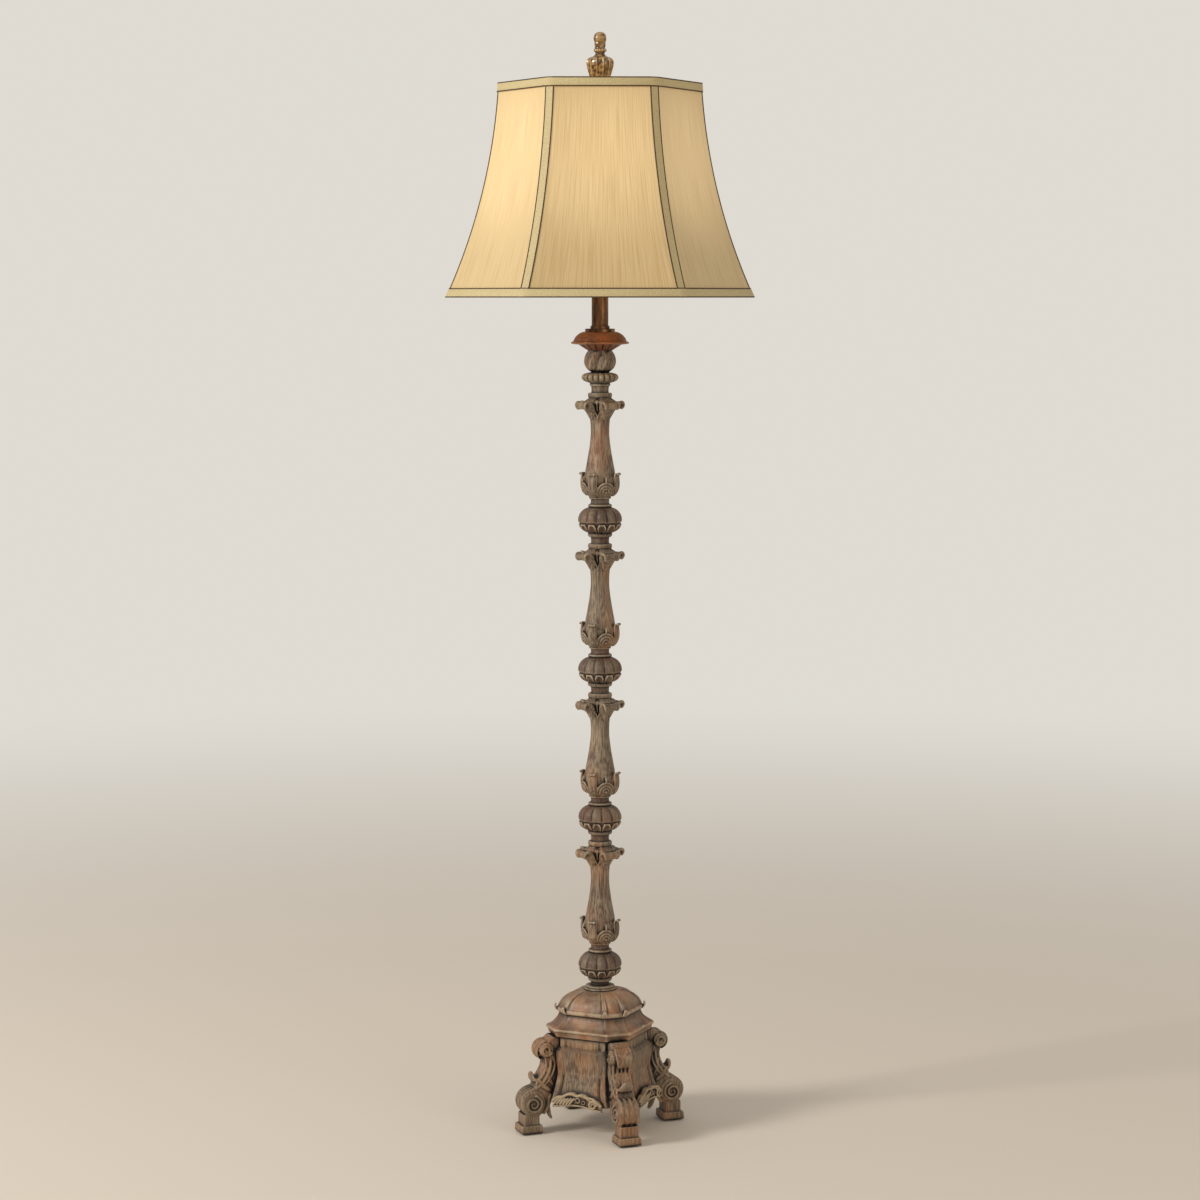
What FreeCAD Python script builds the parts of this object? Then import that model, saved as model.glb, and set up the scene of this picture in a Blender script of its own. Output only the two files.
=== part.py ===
import FreeCAD, Part
import math
import os
import Sketcher
from FreeCAD import Placement, Rotation, Vector

# A floor lamp shaped as a carved candlestick: four scroll legs and a flared pedestal, four
# baluster and knop modules threaded on one tube, a drip pan, and a six-panel bell shade that
# hangs on a harp. Millimetres, +Z up, origin on the floor under the lamp's axis.

SIZES = (
    # Clearances
    ("running_gap", 0.05, "radial gap of a pin, sleeve or threaded piece that turns or slides"),
    ("bore_gap", 0.2, "radial gap between the tube and the pieces threaded on it"),
    ("free_gap", 0.3, "gap between curved pieces that move past each other"),
    # Feet and scroll legs
    ("felt_diameter", 26, "felt disc under each foot"),
    ("felt_thickness", 2, "felt disc under each foot"),
    ("foot_reach", 132, "outer face of a foot block from the axis"),
    ("foot_length", 34, "foot block, radial"),
    ("foot_width", 36, "foot block, across"),
    ("plinth_height", 12, "lower step of the foot block"),
    ("foot_step", 3, "how far the upper step of the foot block stands back"),
    ("foot_block_height", 27, "both steps of the foot block with the felt"),
    ("leg_width", 32, "scroll leg, across"),
    ("foot_scroll_radius", 20, "large scroll over the foot"),
    ("foot_scroll_rise", 49, "centre of the large scroll above the floor"),
    ("eye_radius", 11.5, "raised spiral on the side of the large scroll"),
    ("eye_relief", 1.5, "how far the spiral stands out of the scroll"),
    ("leaf_tip_reach", 112, "pointed leaf on the back of the scroll, from the axis"),
    ("leaf_tip_rise", 92, "pointed leaf on the back of the scroll, above the floor"),
    ("leg_waist", 10, "how far the leg stands out of the pedestal corner at its waist"),
    ("volute_radius", 11, "small volute under the cornice"),
    ("volute_reach", 92, "centre of the small volute from the axis"),
    ("volute_rise", 129, "centre of the small volute above the floor"),
    ("volute_relief", 2, "how far the volute stands out of the leg's sides"),
    ("leg_screw_diameter", 5, "screws that hold a leg to the pedestal"),
    ("leg_screw_head", 9, "screws that hold a leg to the pedestal"),
    ("leg_screw_head_height", 3, "screws that hold a leg to the pedestal"),
    ("leg_screw_bite", 9, "depth of a leg screw in the leg"),
    ("upper_screw_rise", 135.5, "upper leg screw above the floor"),
    ("screw_spacing", 15, "from the upper leg screw down to the lower one"),
    # Pedestal, a flared chamfered square
    ("pedestal_foot", 50, "underside of the pedestal above the floor"),
    ("pedestal_top", 149, "top of the pedestal above the floor"),
    ("die_top_half", 62, "axis to a main face, at the top"),
    ("die_top_edge", 37, "half the width of a main face, at the top"),
    ("die_foot_half", 78, "axis to a main face, at the foot"),
    ("die_foot_edge", 45, "half the width of a main face, at the foot"),
    ("pedestal_wall", 8, "cast wall of the pedestal"),
    ("skirt_height", 26, "scroll and shell skirt at the pedestal's foot"),
    ("skirt_relief", 6, "how far the skirt stands out of the main face"),
    ("cable_bore", 6.5, "cable way in the grommet"),
    ("grommet_diameter", 9, "barrel of the cable grommet"),
    ("grommet_flange", 14, "flange of the cable grommet"),
    ("grommet_flange_height", 2, "flange of the cable grommet"),
    ("grommet_reach", 59, "cable outlet from the axis, at the back"),
    # Weight and plate inside the pedestal
    ("plate_thickness", 3, "steel plate under the weight"),
    ("plate_gap", 2, "between the steel plate and the pedestal's wall"),
    ("weight_diameter", 102, "cast weight"),
    ("weight_height", 48, "cast weight"),
    # Cap of the base
    ("cornice_height", 12, "cornice"),
    ("cornice_half", 70.4, "axis to a main face of the cornice"),
    ("cornice_edge", 43.7, "half the width of a main face of the cornice"),
    ("ogee_height", 20, "hollow moulding over the cornice"),
    ("ogee_top_half", 53.5, "axis to a main face at the top of the hollow moulding"),
    ("ogee_top_edge", 32, "half a main face at the top of the hollow moulding"),
    ("bead_height", 8, "bead over the hollow moulding"),
    ("bead_half", 57.3, "axis to a main face of the bead"),
    ("bead_edge", 34, "half the width of a main face of the bead"),
    ("dome_height", 24.5, "ribbed dome over the bead"),
    ("dome_top_half", 26, "axis to a main face at the top of the dome"),
    ("dome_top_edge", 14, "half the width of a main face at the top of the dome"),
    # Tube through the column
    ("tube_diameter", 10, "threaded tube"),
    ("tube_bore", 6.5, "cable way in the threaded tube"),
    ("coupling_diameter", 14, "coupling between two lengths of tube"),
    ("coupling_length", 28, "coupling between two lengths of tube"),
    ("nut_diameter", 16, "round nuts on the tube"),
    ("nut_height", 5, "round nuts on the tube"),
    ("washer_diameter", 34, "washer under the weight plate"),
    ("washer_thickness", 2, "washer under the weight plate"),
    # Column modules
    ("flange_diameter", 49.7, "flange at the foot of the column"),
    ("flange_height", 6.7, "flange at the foot of the column"),
    ("flange_seat", 4.2, "depth of the seat in the flange"),
    ("knop_diameter", 64.7, "gadrooned knop"),
    ("knop_ring_diameter", 34.8, "rings over and under a knop"),
    ("knop_neck_diameter", 27.8, "necks over and under a knop"),
    ("knop_neck_below", 10, "neck under a knop"),
    ("knop_ring_below", 6.5, "ring under a knop"),
    ("knop_depth_below", 15.4, "knop below its widest place"),
    ("knop_depth_above", 22.6, "knop above its widest place"),
    ("knop_ring_above", 4.9, "ring over a knop"),
    ("knop_neck_above", 8.1, "neck over a knop"),
    ("cup_ring_diameter", 33.2, "ring under the leaf cup"),
    ("cup_ring_height", 3, "ring under the leaf cup"),
    ("cup_diameter", 54.9, "leaf cup at its belly"),
    ("cup_belly_height", 21, "belly of the leaf cup above the baluster's foot"),
    ("cup_height", 38, "leaf cup above the baluster's foot"),
    ("cup_leaf_reach", 31, "curled tips of the cup's leaves from the axis"),
    ("cup_leaf_width", 17, "cup's leaves, across"),
    ("shaft_foot_diameter", 45.2, "shaft where it leaves the cup"),
    ("shaft_waist_diameter", 26.9, "shaft at its waist"),
    ("shaft_waist_height", 97, "waist above the baluster's foot"),
    ("capital_foot_diameter", 32, "shaft where the capital's leaves begin"),
    ("capital_foot_height", 130.5, "foot of the capital above the baluster's foot"),
    ("capital_leaf_reach", 35.5, "curled tips of the capital's leaves from the axis"),
    ("capital_leaf_width", 22, "capital's leaves, across"),
    ("capital_leaf_drop", 6, "how far the curled tips hang"),
    ("capital_ring_diameter", 36.4, "ring on the capital"),
    ("capital_ring_height", 6.8, "ring on the capital"),
    ("baluster_height", 158.4, "baluster from ring to ring"),
    # Top of the column
    ("upper_neck_diameter", 26.5, "neck over the last baluster"),
    ("upper_neck_height", 10, "neck over the last baluster"),
    ("upper_ring_diameter", 31, "small ring over that neck"),
    ("upper_ring_height", 4.3, "small ring over that neck"),
    ("disc_diameter", 54.5, "gadrooned disc"),
    ("disc_height", 16.4, "gadrooned disc"),
    ("bulb_neck_diameter", 26, "pinches of the lobed bulb"),
    ("lobed_bulb_diameter", 44.3, "lobed bulb"),
    ("lobed_bulb_height", 32.3, "lobed bulb"),
    ("pan_cup_diameter", 60, "leaf cup under the drip pan, at its top"),
    ("pan_cup_foot", 36, "leaf cup under the drip pan, at its foot"),
    ("pan_cup_height", 9, "leaf cup under the drip pan"),
    ("pan_rim_diameter", 87, "rim of the drip pan"),
    ("pan_rim_height", 4.4, "rim of the drip pan"),
    ("pan_dome_diameter", 79, "dome of the drip pan"),
    ("pan_dome_top", 50, "flat top of the drip pan's dome"),
    ("pan_dome_height", 14.3, "dome of the drip pan"),
    ("check_ring_diameter", 45, "check ring on the drip pan"),
    ("check_ring_height", 4.8, "check ring on the drip pan"),
    ("neck_tube_diameter", 25, "metal tube under the socket"),
    ("neck_tube_wall", 1.2, "metal tube under the socket"),
    ("neck_tube_height", 87, "metal tube under the socket"),
    ("neck_collar_diameter", 29, "collar at the foot of the metal tube"),
    ("neck_collar_height", 5.7, "collar at the foot of the metal tube"),
    ("neck_cap_diameter", 28, "cap washer on the metal tube"),
    ("neck_cap_height", 3, "cap washer on the metal tube"),
    # Socket and bulb
    ("socket_hub_diameter", 15, "threaded hub of the socket cap"),
    ("socket_cap_height", 18, "socket cap"),
    ("socket_diameter", 36, "socket shell"),
    ("socket_wall", 1, "socket shell and cap"),
    ("socket_height", 52, "socket shell"),
    ("socket_lap", 4, "how far the shell goes into the cap"),
    ("liner_wall", 0.8, "card liner of the socket"),
    ("core_height", 22, "insulating core of the socket"),
    ("screw_shell_wall", 0.5, "screw shell of the socket"),
    ("screw_shell_height", 24, "screw shell of the socket"),
    ("bulb_cap_diameter", 26, "screw cap of the bulb"),
    ("bulb_cap_height", 25, "screw cap of the bulb"),
    ("contact_height", 2.5, "centre contact of the socket"),
    ("contact_diameter", 8, "centre contact of the socket"),
    ("bulb_neck_width", 30, "glass of the bulb where it leaves its cap"),
    ("bulb_diameter", 60, "glass of the bulb"),
    ("bulb_height", 106, "glass of the bulb"),
    ("bulb_wall", 0.8, "glass of the bulb"),
    ("key_shaft_diameter", 3, "shaft of the switch key"),
    ("key_reach", 46, "outer end of the switch key from the axis"),
    ("key_diameter", 15, "grip of the switch key"),
    ("key_thickness", 9, "grip of the switch key"),
    ("key_flat", 2, "collar of the switch key in front of its grip"),
    ("key_rise", 17, "switch key above the foot of the socket's shell"),
    # Harp
    ("harp_wire", 4, "harp wire"),
    ("harp_spread", 33, "harp legs from the axis"),
    ("harp_belly", 57, "widest place of the harp from the axis"),
    ("harp_height", 260, "harp from its saddle to its top plate"),
    ("harp_top_spread", 12, "half the flat top of the harp"),
    ("saddle_thickness", 1.5, "harp saddle"),
    ("saddle_width", 16, "harp saddle"),
    ("saddle_post", 24, "posts of the saddle"),
    ("post_shoulder", 1.2, "how far the shoulder that a sleeve rests on stands out of its post"),
    ("sleeve_diameter", 7.5, "sleeves that lock the harp in its saddle"),
    ("sleeve_length", 20, "sleeves that lock the harp in its saddle"),
    ("sleeve_drop", 9, "how far a sleeve laps the saddle post"),
    ("stud_plate_diameter", 16, "plate under the shade, on the harp"),
    ("stud_plate_height", 2.5, "plate under the shade, on the harp"),
    ("stud_diameter", 6, "threaded stud on the harp"),
    ("stud_height", 14, "threaded stud on the harp"),
    # Shade
    ("shade_height", 315, "bell shade with its bands"),
    ("shade_top_corner", 149.5, "face of a corner seam from the axis, at the top"),
    ("shade_foot_corner", 228.5, "face of a corner seam from the axis, at the foot"),
    ("shade_hollow", 15.1, "how far the bell curves in between its ends"),
    ("shade_wall", 1.2, "fabric on its backing"),
    ("shade_azimuth", 26, "first corner of the shade, degrees"),
    ("shade_rise_over_spider", 7, "top edge of the shade above the spider"),
    ("seam_width", 12.5, "corner seam strips"),
    ("band_height", 12.7, "bands at the two edges"),
    ("band_thickness", 1.2, "bands at the two edges"),
    ("frame_wire", 3, "wires of the shade frame"),
    ("spider_washer_diameter", 22, "washer of the spider"),
    ("spider_washer_height", 2, "washer of the spider"),
    # Finial
    ("finial_insert_diameter", 13, "threaded insert of the finial"),
    ("finial_insert_height", 9, "threaded insert of the finial"),
    ("finial_insert_depth", 6, "how far the insert goes into the finial"),
    ("finial_foot_diameter", 22, "foot of the finial"),
    ("finial_diameter", 40, "lobed body of the finial"),
    ("finial_body_height", 46, "foot and lobed body of the finial"),
    ("finial_neck_diameter", 13, "neck of the finial"),
    ("finial_ring_diameter", 19.5, "flared ring of the finial"),
    ("finial_ring_height", 6, "flared ring of the finial"),
    ("finial_collar_diameter", 17, "collar under the finial's ball"),
    ("finial_collar_height", 11, "collar under the finial's ball"),
    ("finial_ball_diameter", 19.5, "ball of the finial"),
)

PANELS = 6
CORNERS = 4
MODULES = 4
LEAVES = 4
PANEL_HALF_ANGLE = math.pi / PANELS
QUARTER_ROUND = (math.sqrt(2) - 1) / 2
LEG_AZIMUTH = 45
CUP_LEAF_AZIMUTH = 12
CAPITAL_LEAF_AZIMUTH = 57
# The flare of the pedestal: share of its height from the top, share of its spread.
FLARE = ((0.0, 0.0), (0.3, 0.09), (0.55, 0.28), (0.8, 0.64), (1.0, 1.0))
# The hollow moulding and the dome: share of the height, share of the inward step.
HOLLOW = ((0.0, 0.0), (0.3, 0.52), (0.65, 0.86), (1.0, 1.0))
DOME = ((0.0, 0.0), (0.35, 0.12), (0.65, 0.36), (0.87, 0.68), (1.0, 1.0))


class Size:
    """A length or number, and the cell formula that gives it."""

    def __init__(self, formula, value):
        self.formula = formula
        self.value = float(value)

    def joined(self, sign, other, value):
        return Size("(%s %s %s)" % (self.formula, sign, other.formula), value)

    def __add__(self, other):
        other = as_size(other)
        return self.joined("+", other, self.value + other.value)

    def __sub__(self, other):
        other = as_size(other)
        return self.joined("-", other, self.value - other.value)

    def __mul__(self, other):
        other = as_size(other)
        return self.joined("*", other, self.value * other.value)

    def __truediv__(self, other):
        other = as_size(other)
        return self.joined("/", other, self.value / other.value)

    def __radd__(self, other):
        return as_size(other) + self

    def __rsub__(self, other):
        return as_size(other) - self

    def __rmul__(self, other):
        return as_size(other) * self

    def __neg__(self):
        return as_size(0) - self


def as_size(number):
    if isinstance(number, Size):
        return number
    return Size("(%r)" % float(number), number)


def hypotenuse(across, up):
    across = as_size(across)
    up = as_size(up)
    formula = "sqrt(%s^2 + %s^2)" % (across.formula, up.formula)
    return Size(formula, math.hypot(across.value, up.value))


class Sheet:
    """The driving dimensions, one row each, read back by alias."""

    def __init__(self, document):
        self.cells = document.addObject("Spreadsheet::Sheet", "Sizes")
        for row, (alias, value, meaning) in enumerate(SIZES, start=1):
            self.cells.set("A%d" % row, alias)
            self.cells.set("B%d" % row, str(value))
            self.cells.set("C%d" % row, meaning)
            self.cells.setAlias("B%d" % row, alias)
        document.recompute()

    def __getattr__(self, alias):
        return Size("Sizes." + alias, self.cells.get(alias))


document = FreeCAD.newDocument("CandlestickFloorLamp")
S = Sheet(document)
nodes = []


# ---------------------------------------------------------------- helpers


def bind(target, prop, size):
    """Bind a property to the cells that give it."""
    target.setExpression(prop, as_size(size).formula)


def place(target, across=0, back=0, up=0, turn=0.0, tilt_axis=None, tilt=0.0):
    """Set a piece down at a bound place, tilted about an axis and then turned about Z."""
    rotation = Rotation(Vector(0, 0, 1), turn)
    if tilt_axis is not None:
        rotation = rotation * Rotation(tilt_axis, tilt)
    across, back, up = as_size(across), as_size(back), as_size(up)
    target.Placement = Placement(Vector(across.value, back.value, up.value), rotation)
    bind(target, "Placement.Base.x", across)
    bind(target, "Placement.Base.y", back)
    bind(target, "Placement.Base.z", up)


def named(target, label):
    """Give a sub-part the label that names its file."""
    target.Label = label
    nodes.append(target)
    return target


def new_body(label, up=0, turn=0.0):
    body = document.addObject("PartDesign::Body", label)
    place(body, up=up, turn=turn)
    return named(body, label)


def origin_feature(body, role):
    return [feature for feature in body.Origin.OriginFeatures if feature.Role == role][0]


def outline_sketch(body, name, plane, points, offset=0, swing=0.0):
    """A closed outline, on a plane that swing turns about Z. A point is (across, up), or
    (across, up, bulge) after an arc whose rise is that share of its chord, to the right of
    the way along it where it is positive."""
    sketch = body.newObject("Sketcher::SketchObject", name)
    sketch.AttachmentSupport = [(origin_feature(body, plane), "")]
    sketch.MapMode = "FlatFace"
    sketch.AttachmentOffset = Placement(Vector(), Rotation(Vector(0, 1, 0), swing))
    bind(sketch, "AttachmentOffset.Base.z", offset)
    corners = [(as_size(p[0]), as_size(p[1]), p[2] if len(p) > 2 else 0) for p in points]
    lines = []
    ends = []
    ties = []
    sizes = []
    for index, start in enumerate(corners):
        stop = corners[(index + 1) % len(corners)]
        bulge = stop[2]
        first = Vector(start[0].value, start[1].value, 0)
        last = Vector(stop[0].value, stop[1].value, 0)
        if bulge == 0:
            lines.append(Part.LineSegment(first, last))
            ends.append((1, 2))
            continue
        factor = 1 / (8 * abs(bulge)) + abs(bulge) / 2
        radius = hypotenuse(stop[0] - start[0], stop[1] - start[1]) * factor
        if bulge < 0:
            first, last = last, first
        ends.append((1, 2) if bulge > 0 else (2, 1))
        lines.append(arc_between(first, last, radius.value, abs(bulge)))
        ties.append(Sketcher.Constraint("Radius", index, radius.value))
        sizes.append(radius)
    for index, corner in enumerate(corners):
        for kind, size in (("DistanceX", corner[0]), ("DistanceY", corner[1])):
            ties.append(Sketcher.Constraint(kind, -1, 1, index, ends[index][0], size.value))
            sizes.append(size)
    bound = len(ties)
    for index in range(len(corners)):
        after = (index + 1) % len(corners)
        ties.append(Sketcher.Constraint("Coincident", index, ends[index][1], after, ends[after][0]))
    sketch.addGeometry(lines)
    sketch.addConstraint(ties)
    for number in range(bound):
        bind(sketch, "Constraints[%d]" % number, sizes[number])
    return sketch


def arc_between(first, last, radius, bulge):
    """Arc run anticlockwise from first to last, rising by bulge times its chord."""
    chord = last - first
    left = Vector(-chord.y, chord.x, 0)
    centre = (first + last) * 0.5 + left * (radius / chord.Length - bulge)
    begin = math.atan2(first.y - centre.y, first.x - centre.x)
    end = math.atan2(last.y - centre.y, last.x - centre.x)
    return Part.ArcOfCircle(Part.Circle(centre, Vector(0, 0, 1), radius), begin, end)


def circle_sketch(body, name, plane, radius, offset=0, across=0, up=0, swing=0.0):
    sketch = body.newObject("Sketcher::SketchObject", name)
    sketch.AttachmentSupport = [(origin_feature(body, plane), "")]
    sketch.MapMode = "FlatFace"
    sketch.AttachmentOffset = Placement(Vector(), Rotation(Vector(0, 1, 0), swing))
    bind(sketch, "AttachmentOffset.Base.z", offset)
    across, up = as_size(across), as_size(up)
    centre = Vector(across.value, up.value, 0)
    sketch.addGeometry(Part.Circle(centre, Vector(0, 0, 1), radius.value))
    sketch.addConstraint([
        Sketcher.Constraint("DistanceX", -1, 1, 0, 3, across.value),
        Sketcher.Constraint("DistanceY", -1, 1, 0, 3, up.value),
        Sketcher.Constraint("Radius", 0, radius.value),
    ])
    for number, size in enumerate((across, up, radius)):
        bind(sketch, "Constraints[%d]" % number, size)
    return sketch


def turned_feature(body, name, points):
    """Turn a half outline about the body's own Z."""
    sketch = outline_sketch(body, name + "_outline", "XZ_Plane", points)
    feature = body.newObject("PartDesign::Revolution", name + "_turning")
    feature.Profile = sketch
    feature.ReferenceAxis = (sketch, ["V_Axis"])
    feature.Angle = 360
    feature.Refine = False
    return feature


def turned(label, points, up=0):
    body = new_body(label, up)
    turned_feature(body, label, points)
    return body


def padded(body, sketch, length, midplane=True):
    feature = body.newObject("PartDesign::Pad", sketch.Name + "_pad")
    feature.Profile = sketch
    feature.Midplane = midplane
    feature.Refine = False
    bind(feature, "Length", length)
    return feature


def pocketed(body, sketch, length, midplane=True):
    feature = body.newObject("PartDesign::Pocket", sketch.Name + "_pocket")
    feature.Profile = sketch
    feature.Midplane = midplane
    feature.Refine = False
    bind(feature, "Length", length)
    return feature


def around(body, features, count):
    """Repeat features evenly about the body's own Z."""
    pattern = body.newObject("PartDesign::PolarPattern", body.Name + "_pattern")
    pattern.Originals = features
    pattern.Axis = (origin_feature(body, "Z_Axis"), [""])
    pattern.Angle = 360
    pattern.Occurrences = count
    pattern.Refine = False
    body.Tip = pattern
    return pattern


def cylinder(name, radius, height, **where):
    piece = document.addObject("Part::Cylinder", name)
    bind(piece, "Radius", radius)
    bind(piece, "Height", height)
    place(piece, **where)
    return piece


def group(label, members):
    """Equal small pieces that share one node, each a solid of its own."""
    compound = document.addObject("Part::Compound", label)
    compound.Links = members
    return named(compound, label)


def repeated(label, original, up=None, turn=0.0):
    """One more of an original, at a place of its own."""
    copy = document.addObject("App::Link", label)
    copy.LinkedObject = original
    height = as_size(0) if up is None else up
    place(copy, up=height, turn=turn)
    return named(copy, label)


def free_shape(label, shape):
    """A piece bent or lofted straight from the sheet's sizes."""
    feature = document.addObject("Part::Feature", label)
    feature.Shape = shape
    feature.Placement = Placement()
    return named(feature, label)


def rounded_path(points, radii):
    """Straight runs between points, joined by tangent arcs of the given radii."""
    edges = []
    start = points[0]
    for index in range(1, len(points) - 1):
        corner = points[index]
        arriving = (corner - points[index - 1]).normalize()
        leaving = (points[index + 1] - corner).normalize()
        half = arriving.getAngle(leaving) / 2
        back = radii[index - 1] * math.tan(half)
        enter = corner - arriving * back
        leave = corner + leaving * back
        inward = (leaving - arriving).normalize()
        middle = corner + inward * radii[index - 1] * (1 / math.cos(half) - 1)
        edges.append(Part.LineSegment(start, enter).toShape())
        edges.append(Part.Arc(enter, middle, leave).toShape())
        start = leave
    edges.append(Part.LineSegment(start, points[-1]).toShape())
    return Part.Wire(edges)


def wire_along(path, radius):
    """Round wire along a path, with mitred corners."""
    first = path.OrderedVertexes[0].Point
    heading = path.OrderedEdges[0].tangentAt(path.OrderedEdges[0].FirstParameter)
    if path.OrderedEdges[0].Orientation == "Reversed":
        heading = path.OrderedEdges[0].tangentAt(path.OrderedEdges[0].LastParameter) * -1
    section = Part.Wire([Part.Circle(first, heading, radius).toShape()])
    shell = Part.BRepOffsetAPI.MakePipeShell(path)
    shell.add(section)
    shell.setTransitionMode(1)
    shell.build()
    shell.makeSolid()
    return shell.shape()


def polar(radius, degrees, up=0.0):
    angle = math.radians(degrees)
    return Vector(radius * math.cos(angle), radius * math.sin(angle), up)


# ---------------------------------------------------------------- heights of the stack

pedestal_height = S.pedestal_top - S.pedestal_foot
cap_foot = S.pedestal_top
ogee_foot = cap_foot + S.cornice_height
bead_foot = ogee_foot + S.ogee_height
dome_foot = bead_foot + S.bead_height
column_foot = dome_foot + S.dome_height
knop_foot = column_foot + S.flange_height - S.flange_seat
knop_widest = S.knop_neck_below + S.knop_ring_below + S.knop_depth_below
knop_height = knop_widest + S.knop_depth_above + S.knop_ring_above + S.knop_neck_above
module_height = knop_height + S.baluster_height
upper_foot = knop_foot + module_height * MODULES
upper_height = S.upper_neck_height + S.upper_ring_height + S.disc_height
lobed_foot = upper_foot + upper_height
pan_foot = lobed_foot + S.lobed_bulb_height
pan_height = S.pan_cup_height + S.pan_rim_height + S.pan_dome_height
ring_foot = pan_foot + pan_height
neck_foot = ring_foot + S.check_ring_height
neck_cap_foot = neck_foot + S.neck_tube_height
saddle_foot = neck_cap_foot + S.neck_cap_height
saddle_nut_foot = saddle_foot + S.saddle_thickness
socket_foot = saddle_nut_foot + S.nut_height
plate_top = S.pedestal_foot + S.plate_thickness
washer_foot = S.pedestal_foot - S.washer_thickness
tie_nut_foot = washer_foot - S.nut_height
harp_top = saddle_foot + S.harp_height
spider_foot = harp_top + S.stud_plate_height
shade_top = spider_foot + S.spider_washer_height + S.shade_rise_over_spider
shade_foot = shade_top - S.shade_height
finial_foot = spider_foot + S.spider_washer_height

tube_radius = S.tube_diameter / 2
tube_hole = tube_radius + S.bore_gap
nut_bore = tube_radius + S.running_gap


# ---------------------------------------------------------------- base


def chamfered_square(half, edge):
    """Corners of a square whose corners are cut, from the half width of a main face."""
    quarter = ((half, -edge), (half, edge), (edge, half), (-edge, half))
    return list(quarter) + [(-across, -up) for across, up in quarter]


def lofted(body, name, sections, cut=False):
    """Loft a body through chamfered squares given as (height, half, edge)."""
    sketches = []
    for index, (up, half, edge) in enumerate(sections):
        label = "%s_section_%d" % (name, index + 1)
        corners = chamfered_square(half, edge)
        sketches.append(outline_sketch(body, label, "XY_Plane", corners, offset=up))
    kind = "PartDesign::SubtractiveLoft" if cut else "PartDesign::AdditiveLoft"
    loft = body.newObject(kind, name)
    loft.Profile = sketches[0]
    loft.Sections = sketches[1:]
    loft.Ruled = True
    loft.Refine = False
    return loft


def die_half(share):
    return S.die_top_half + (S.die_foot_half - S.die_top_half) * share


def die_edge(share):
    return S.die_top_edge + (S.die_foot_edge - S.die_top_edge) * share


def die_corner(share):
    """Distance of the pedestal's cut corner from the axis."""
    return (die_half(share) + die_edge(share)) * math.sqrt(0.5)


def screw_rises():
    """Heights of the two screws that hold each leg."""
    return (S.upper_screw_rise, S.upper_screw_rise - S.screw_spacing)


def screw_hole():
    return S.leg_screw_diameter / 2 + S.running_gap


def pedestal():
    """Flared, hollow, with a skirt on each main face and holes for tube, cable and screws."""
    body = new_body("base_pedestal", S.pedestal_foot)
    wall_edge = S.pedestal_wall * math.tan(math.pi / 8)
    outside = []
    inside = []
    for drop, share in reversed(FLARE):
        up = pedestal_height * (1 - drop)
        outside.append((up, die_half(share), die_edge(share)))
        roof = (pedestal_height - S.pedestal_wall) * (1 - drop)
        inside.append((roof, die_half(share) - S.pedestal_wall, die_edge(share) - wall_edge))
    lofted(body, "die", outside)
    reach = S.die_foot_half - S.pedestal_wall
    edge = S.die_foot_edge - S.skirt_relief
    skirt_points = (
        (edge, 0),
        (edge, S.skirt_height * 0.4),
        (edge * 0.5, S.skirt_height, 0.2),
        (-edge * 0.5, S.skirt_height, 0.08),
        (-edge, S.skirt_height * 0.4, 0.2),
        (-edge, 0),
        (0, 0, 0.15),
        (edge, 0, 0.15),
    )
    skirt = outline_sketch(body, "skirt", "YZ_Plane", skirt_points[1:], offset=reach)
    skirt_pad = padded(body, skirt, S.pedestal_wall + S.skirt_relief, midplane=False)
    around(body, [skirt_pad], CORNERS)
    lofted(body, "cavity", inside, cut=True)
    hole = circle_sketch(body, "tube_way", "XY_Plane", tube_hole, offset=pedestal_height)
    pocketed(body, hole, S.pedestal_wall * 2)
    for number, rise in enumerate(screw_rises()):
        for side, swing in (("a", LEG_AZIMUTH), ("b", -LEG_AZIMUTH)):
            bore = circle_sketch(
                body, "screw_way_%d%s" % (number + 1, side), "YZ_Plane", screw_hole(),
                up=rise - S.pedestal_foot, swing=swing,
            )
            pocketed(body, bore, die_corner(1) * 2)
    return body


def leg_outline():
    """Side view of a scroll leg, from its seat on the pedestal out to the foot and back."""
    scroll_right = S.foot_reach
    scroll_centre = scroll_right - S.foot_scroll_radius
    inner = S.foot_reach - S.foot_length
    step = S.foot_step
    volute_top = S.volute_rise + S.volute_radius
    volute_foot = S.volute_rise - S.volute_radius
    waist = die_corner(FLARE[2][1]) + S.leg_waist
    knee = die_corner(FLARE[3][1]) + S.leg_waist
    seat = []
    for drop, share in reversed(FLARE):
        seat.append((die_corner(share), S.pedestal_top - pedestal_height * drop))
    return [
        (S.volute_reach - S.volute_radius, S.pedestal_top),
        (S.volute_reach, volute_top, -0.1),
        (S.volute_reach, volute_foot, -0.4),
        (waist - 1, volute_foot - 2),
        (knee, S.leaf_tip_rise - S.leg_waist, 0.12),
        (S.leaf_tip_reach, S.leaf_tip_rise, 0.25),
        (S.leaf_tip_reach - 3, S.foot_scroll_rise + S.foot_scroll_radius, -0.08),
        (scroll_centre, S.foot_scroll_rise + S.foot_scroll_radius, -0.05),
        (scroll_right, S.foot_scroll_rise - 4, -0.24),
        (scroll_right - step, S.foot_block_height),
        (scroll_right - step, S.felt_thickness + S.plinth_height),
        (scroll_right, S.felt_thickness + S.plinth_height),
        (scroll_right, S.felt_thickness),
        (inner, S.felt_thickness),
        (inner, S.felt_thickness + S.plinth_height),
        (inner + step, S.felt_thickness + S.plinth_height),
        (inner + step, S.foot_block_height),
    ] + seat


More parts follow.
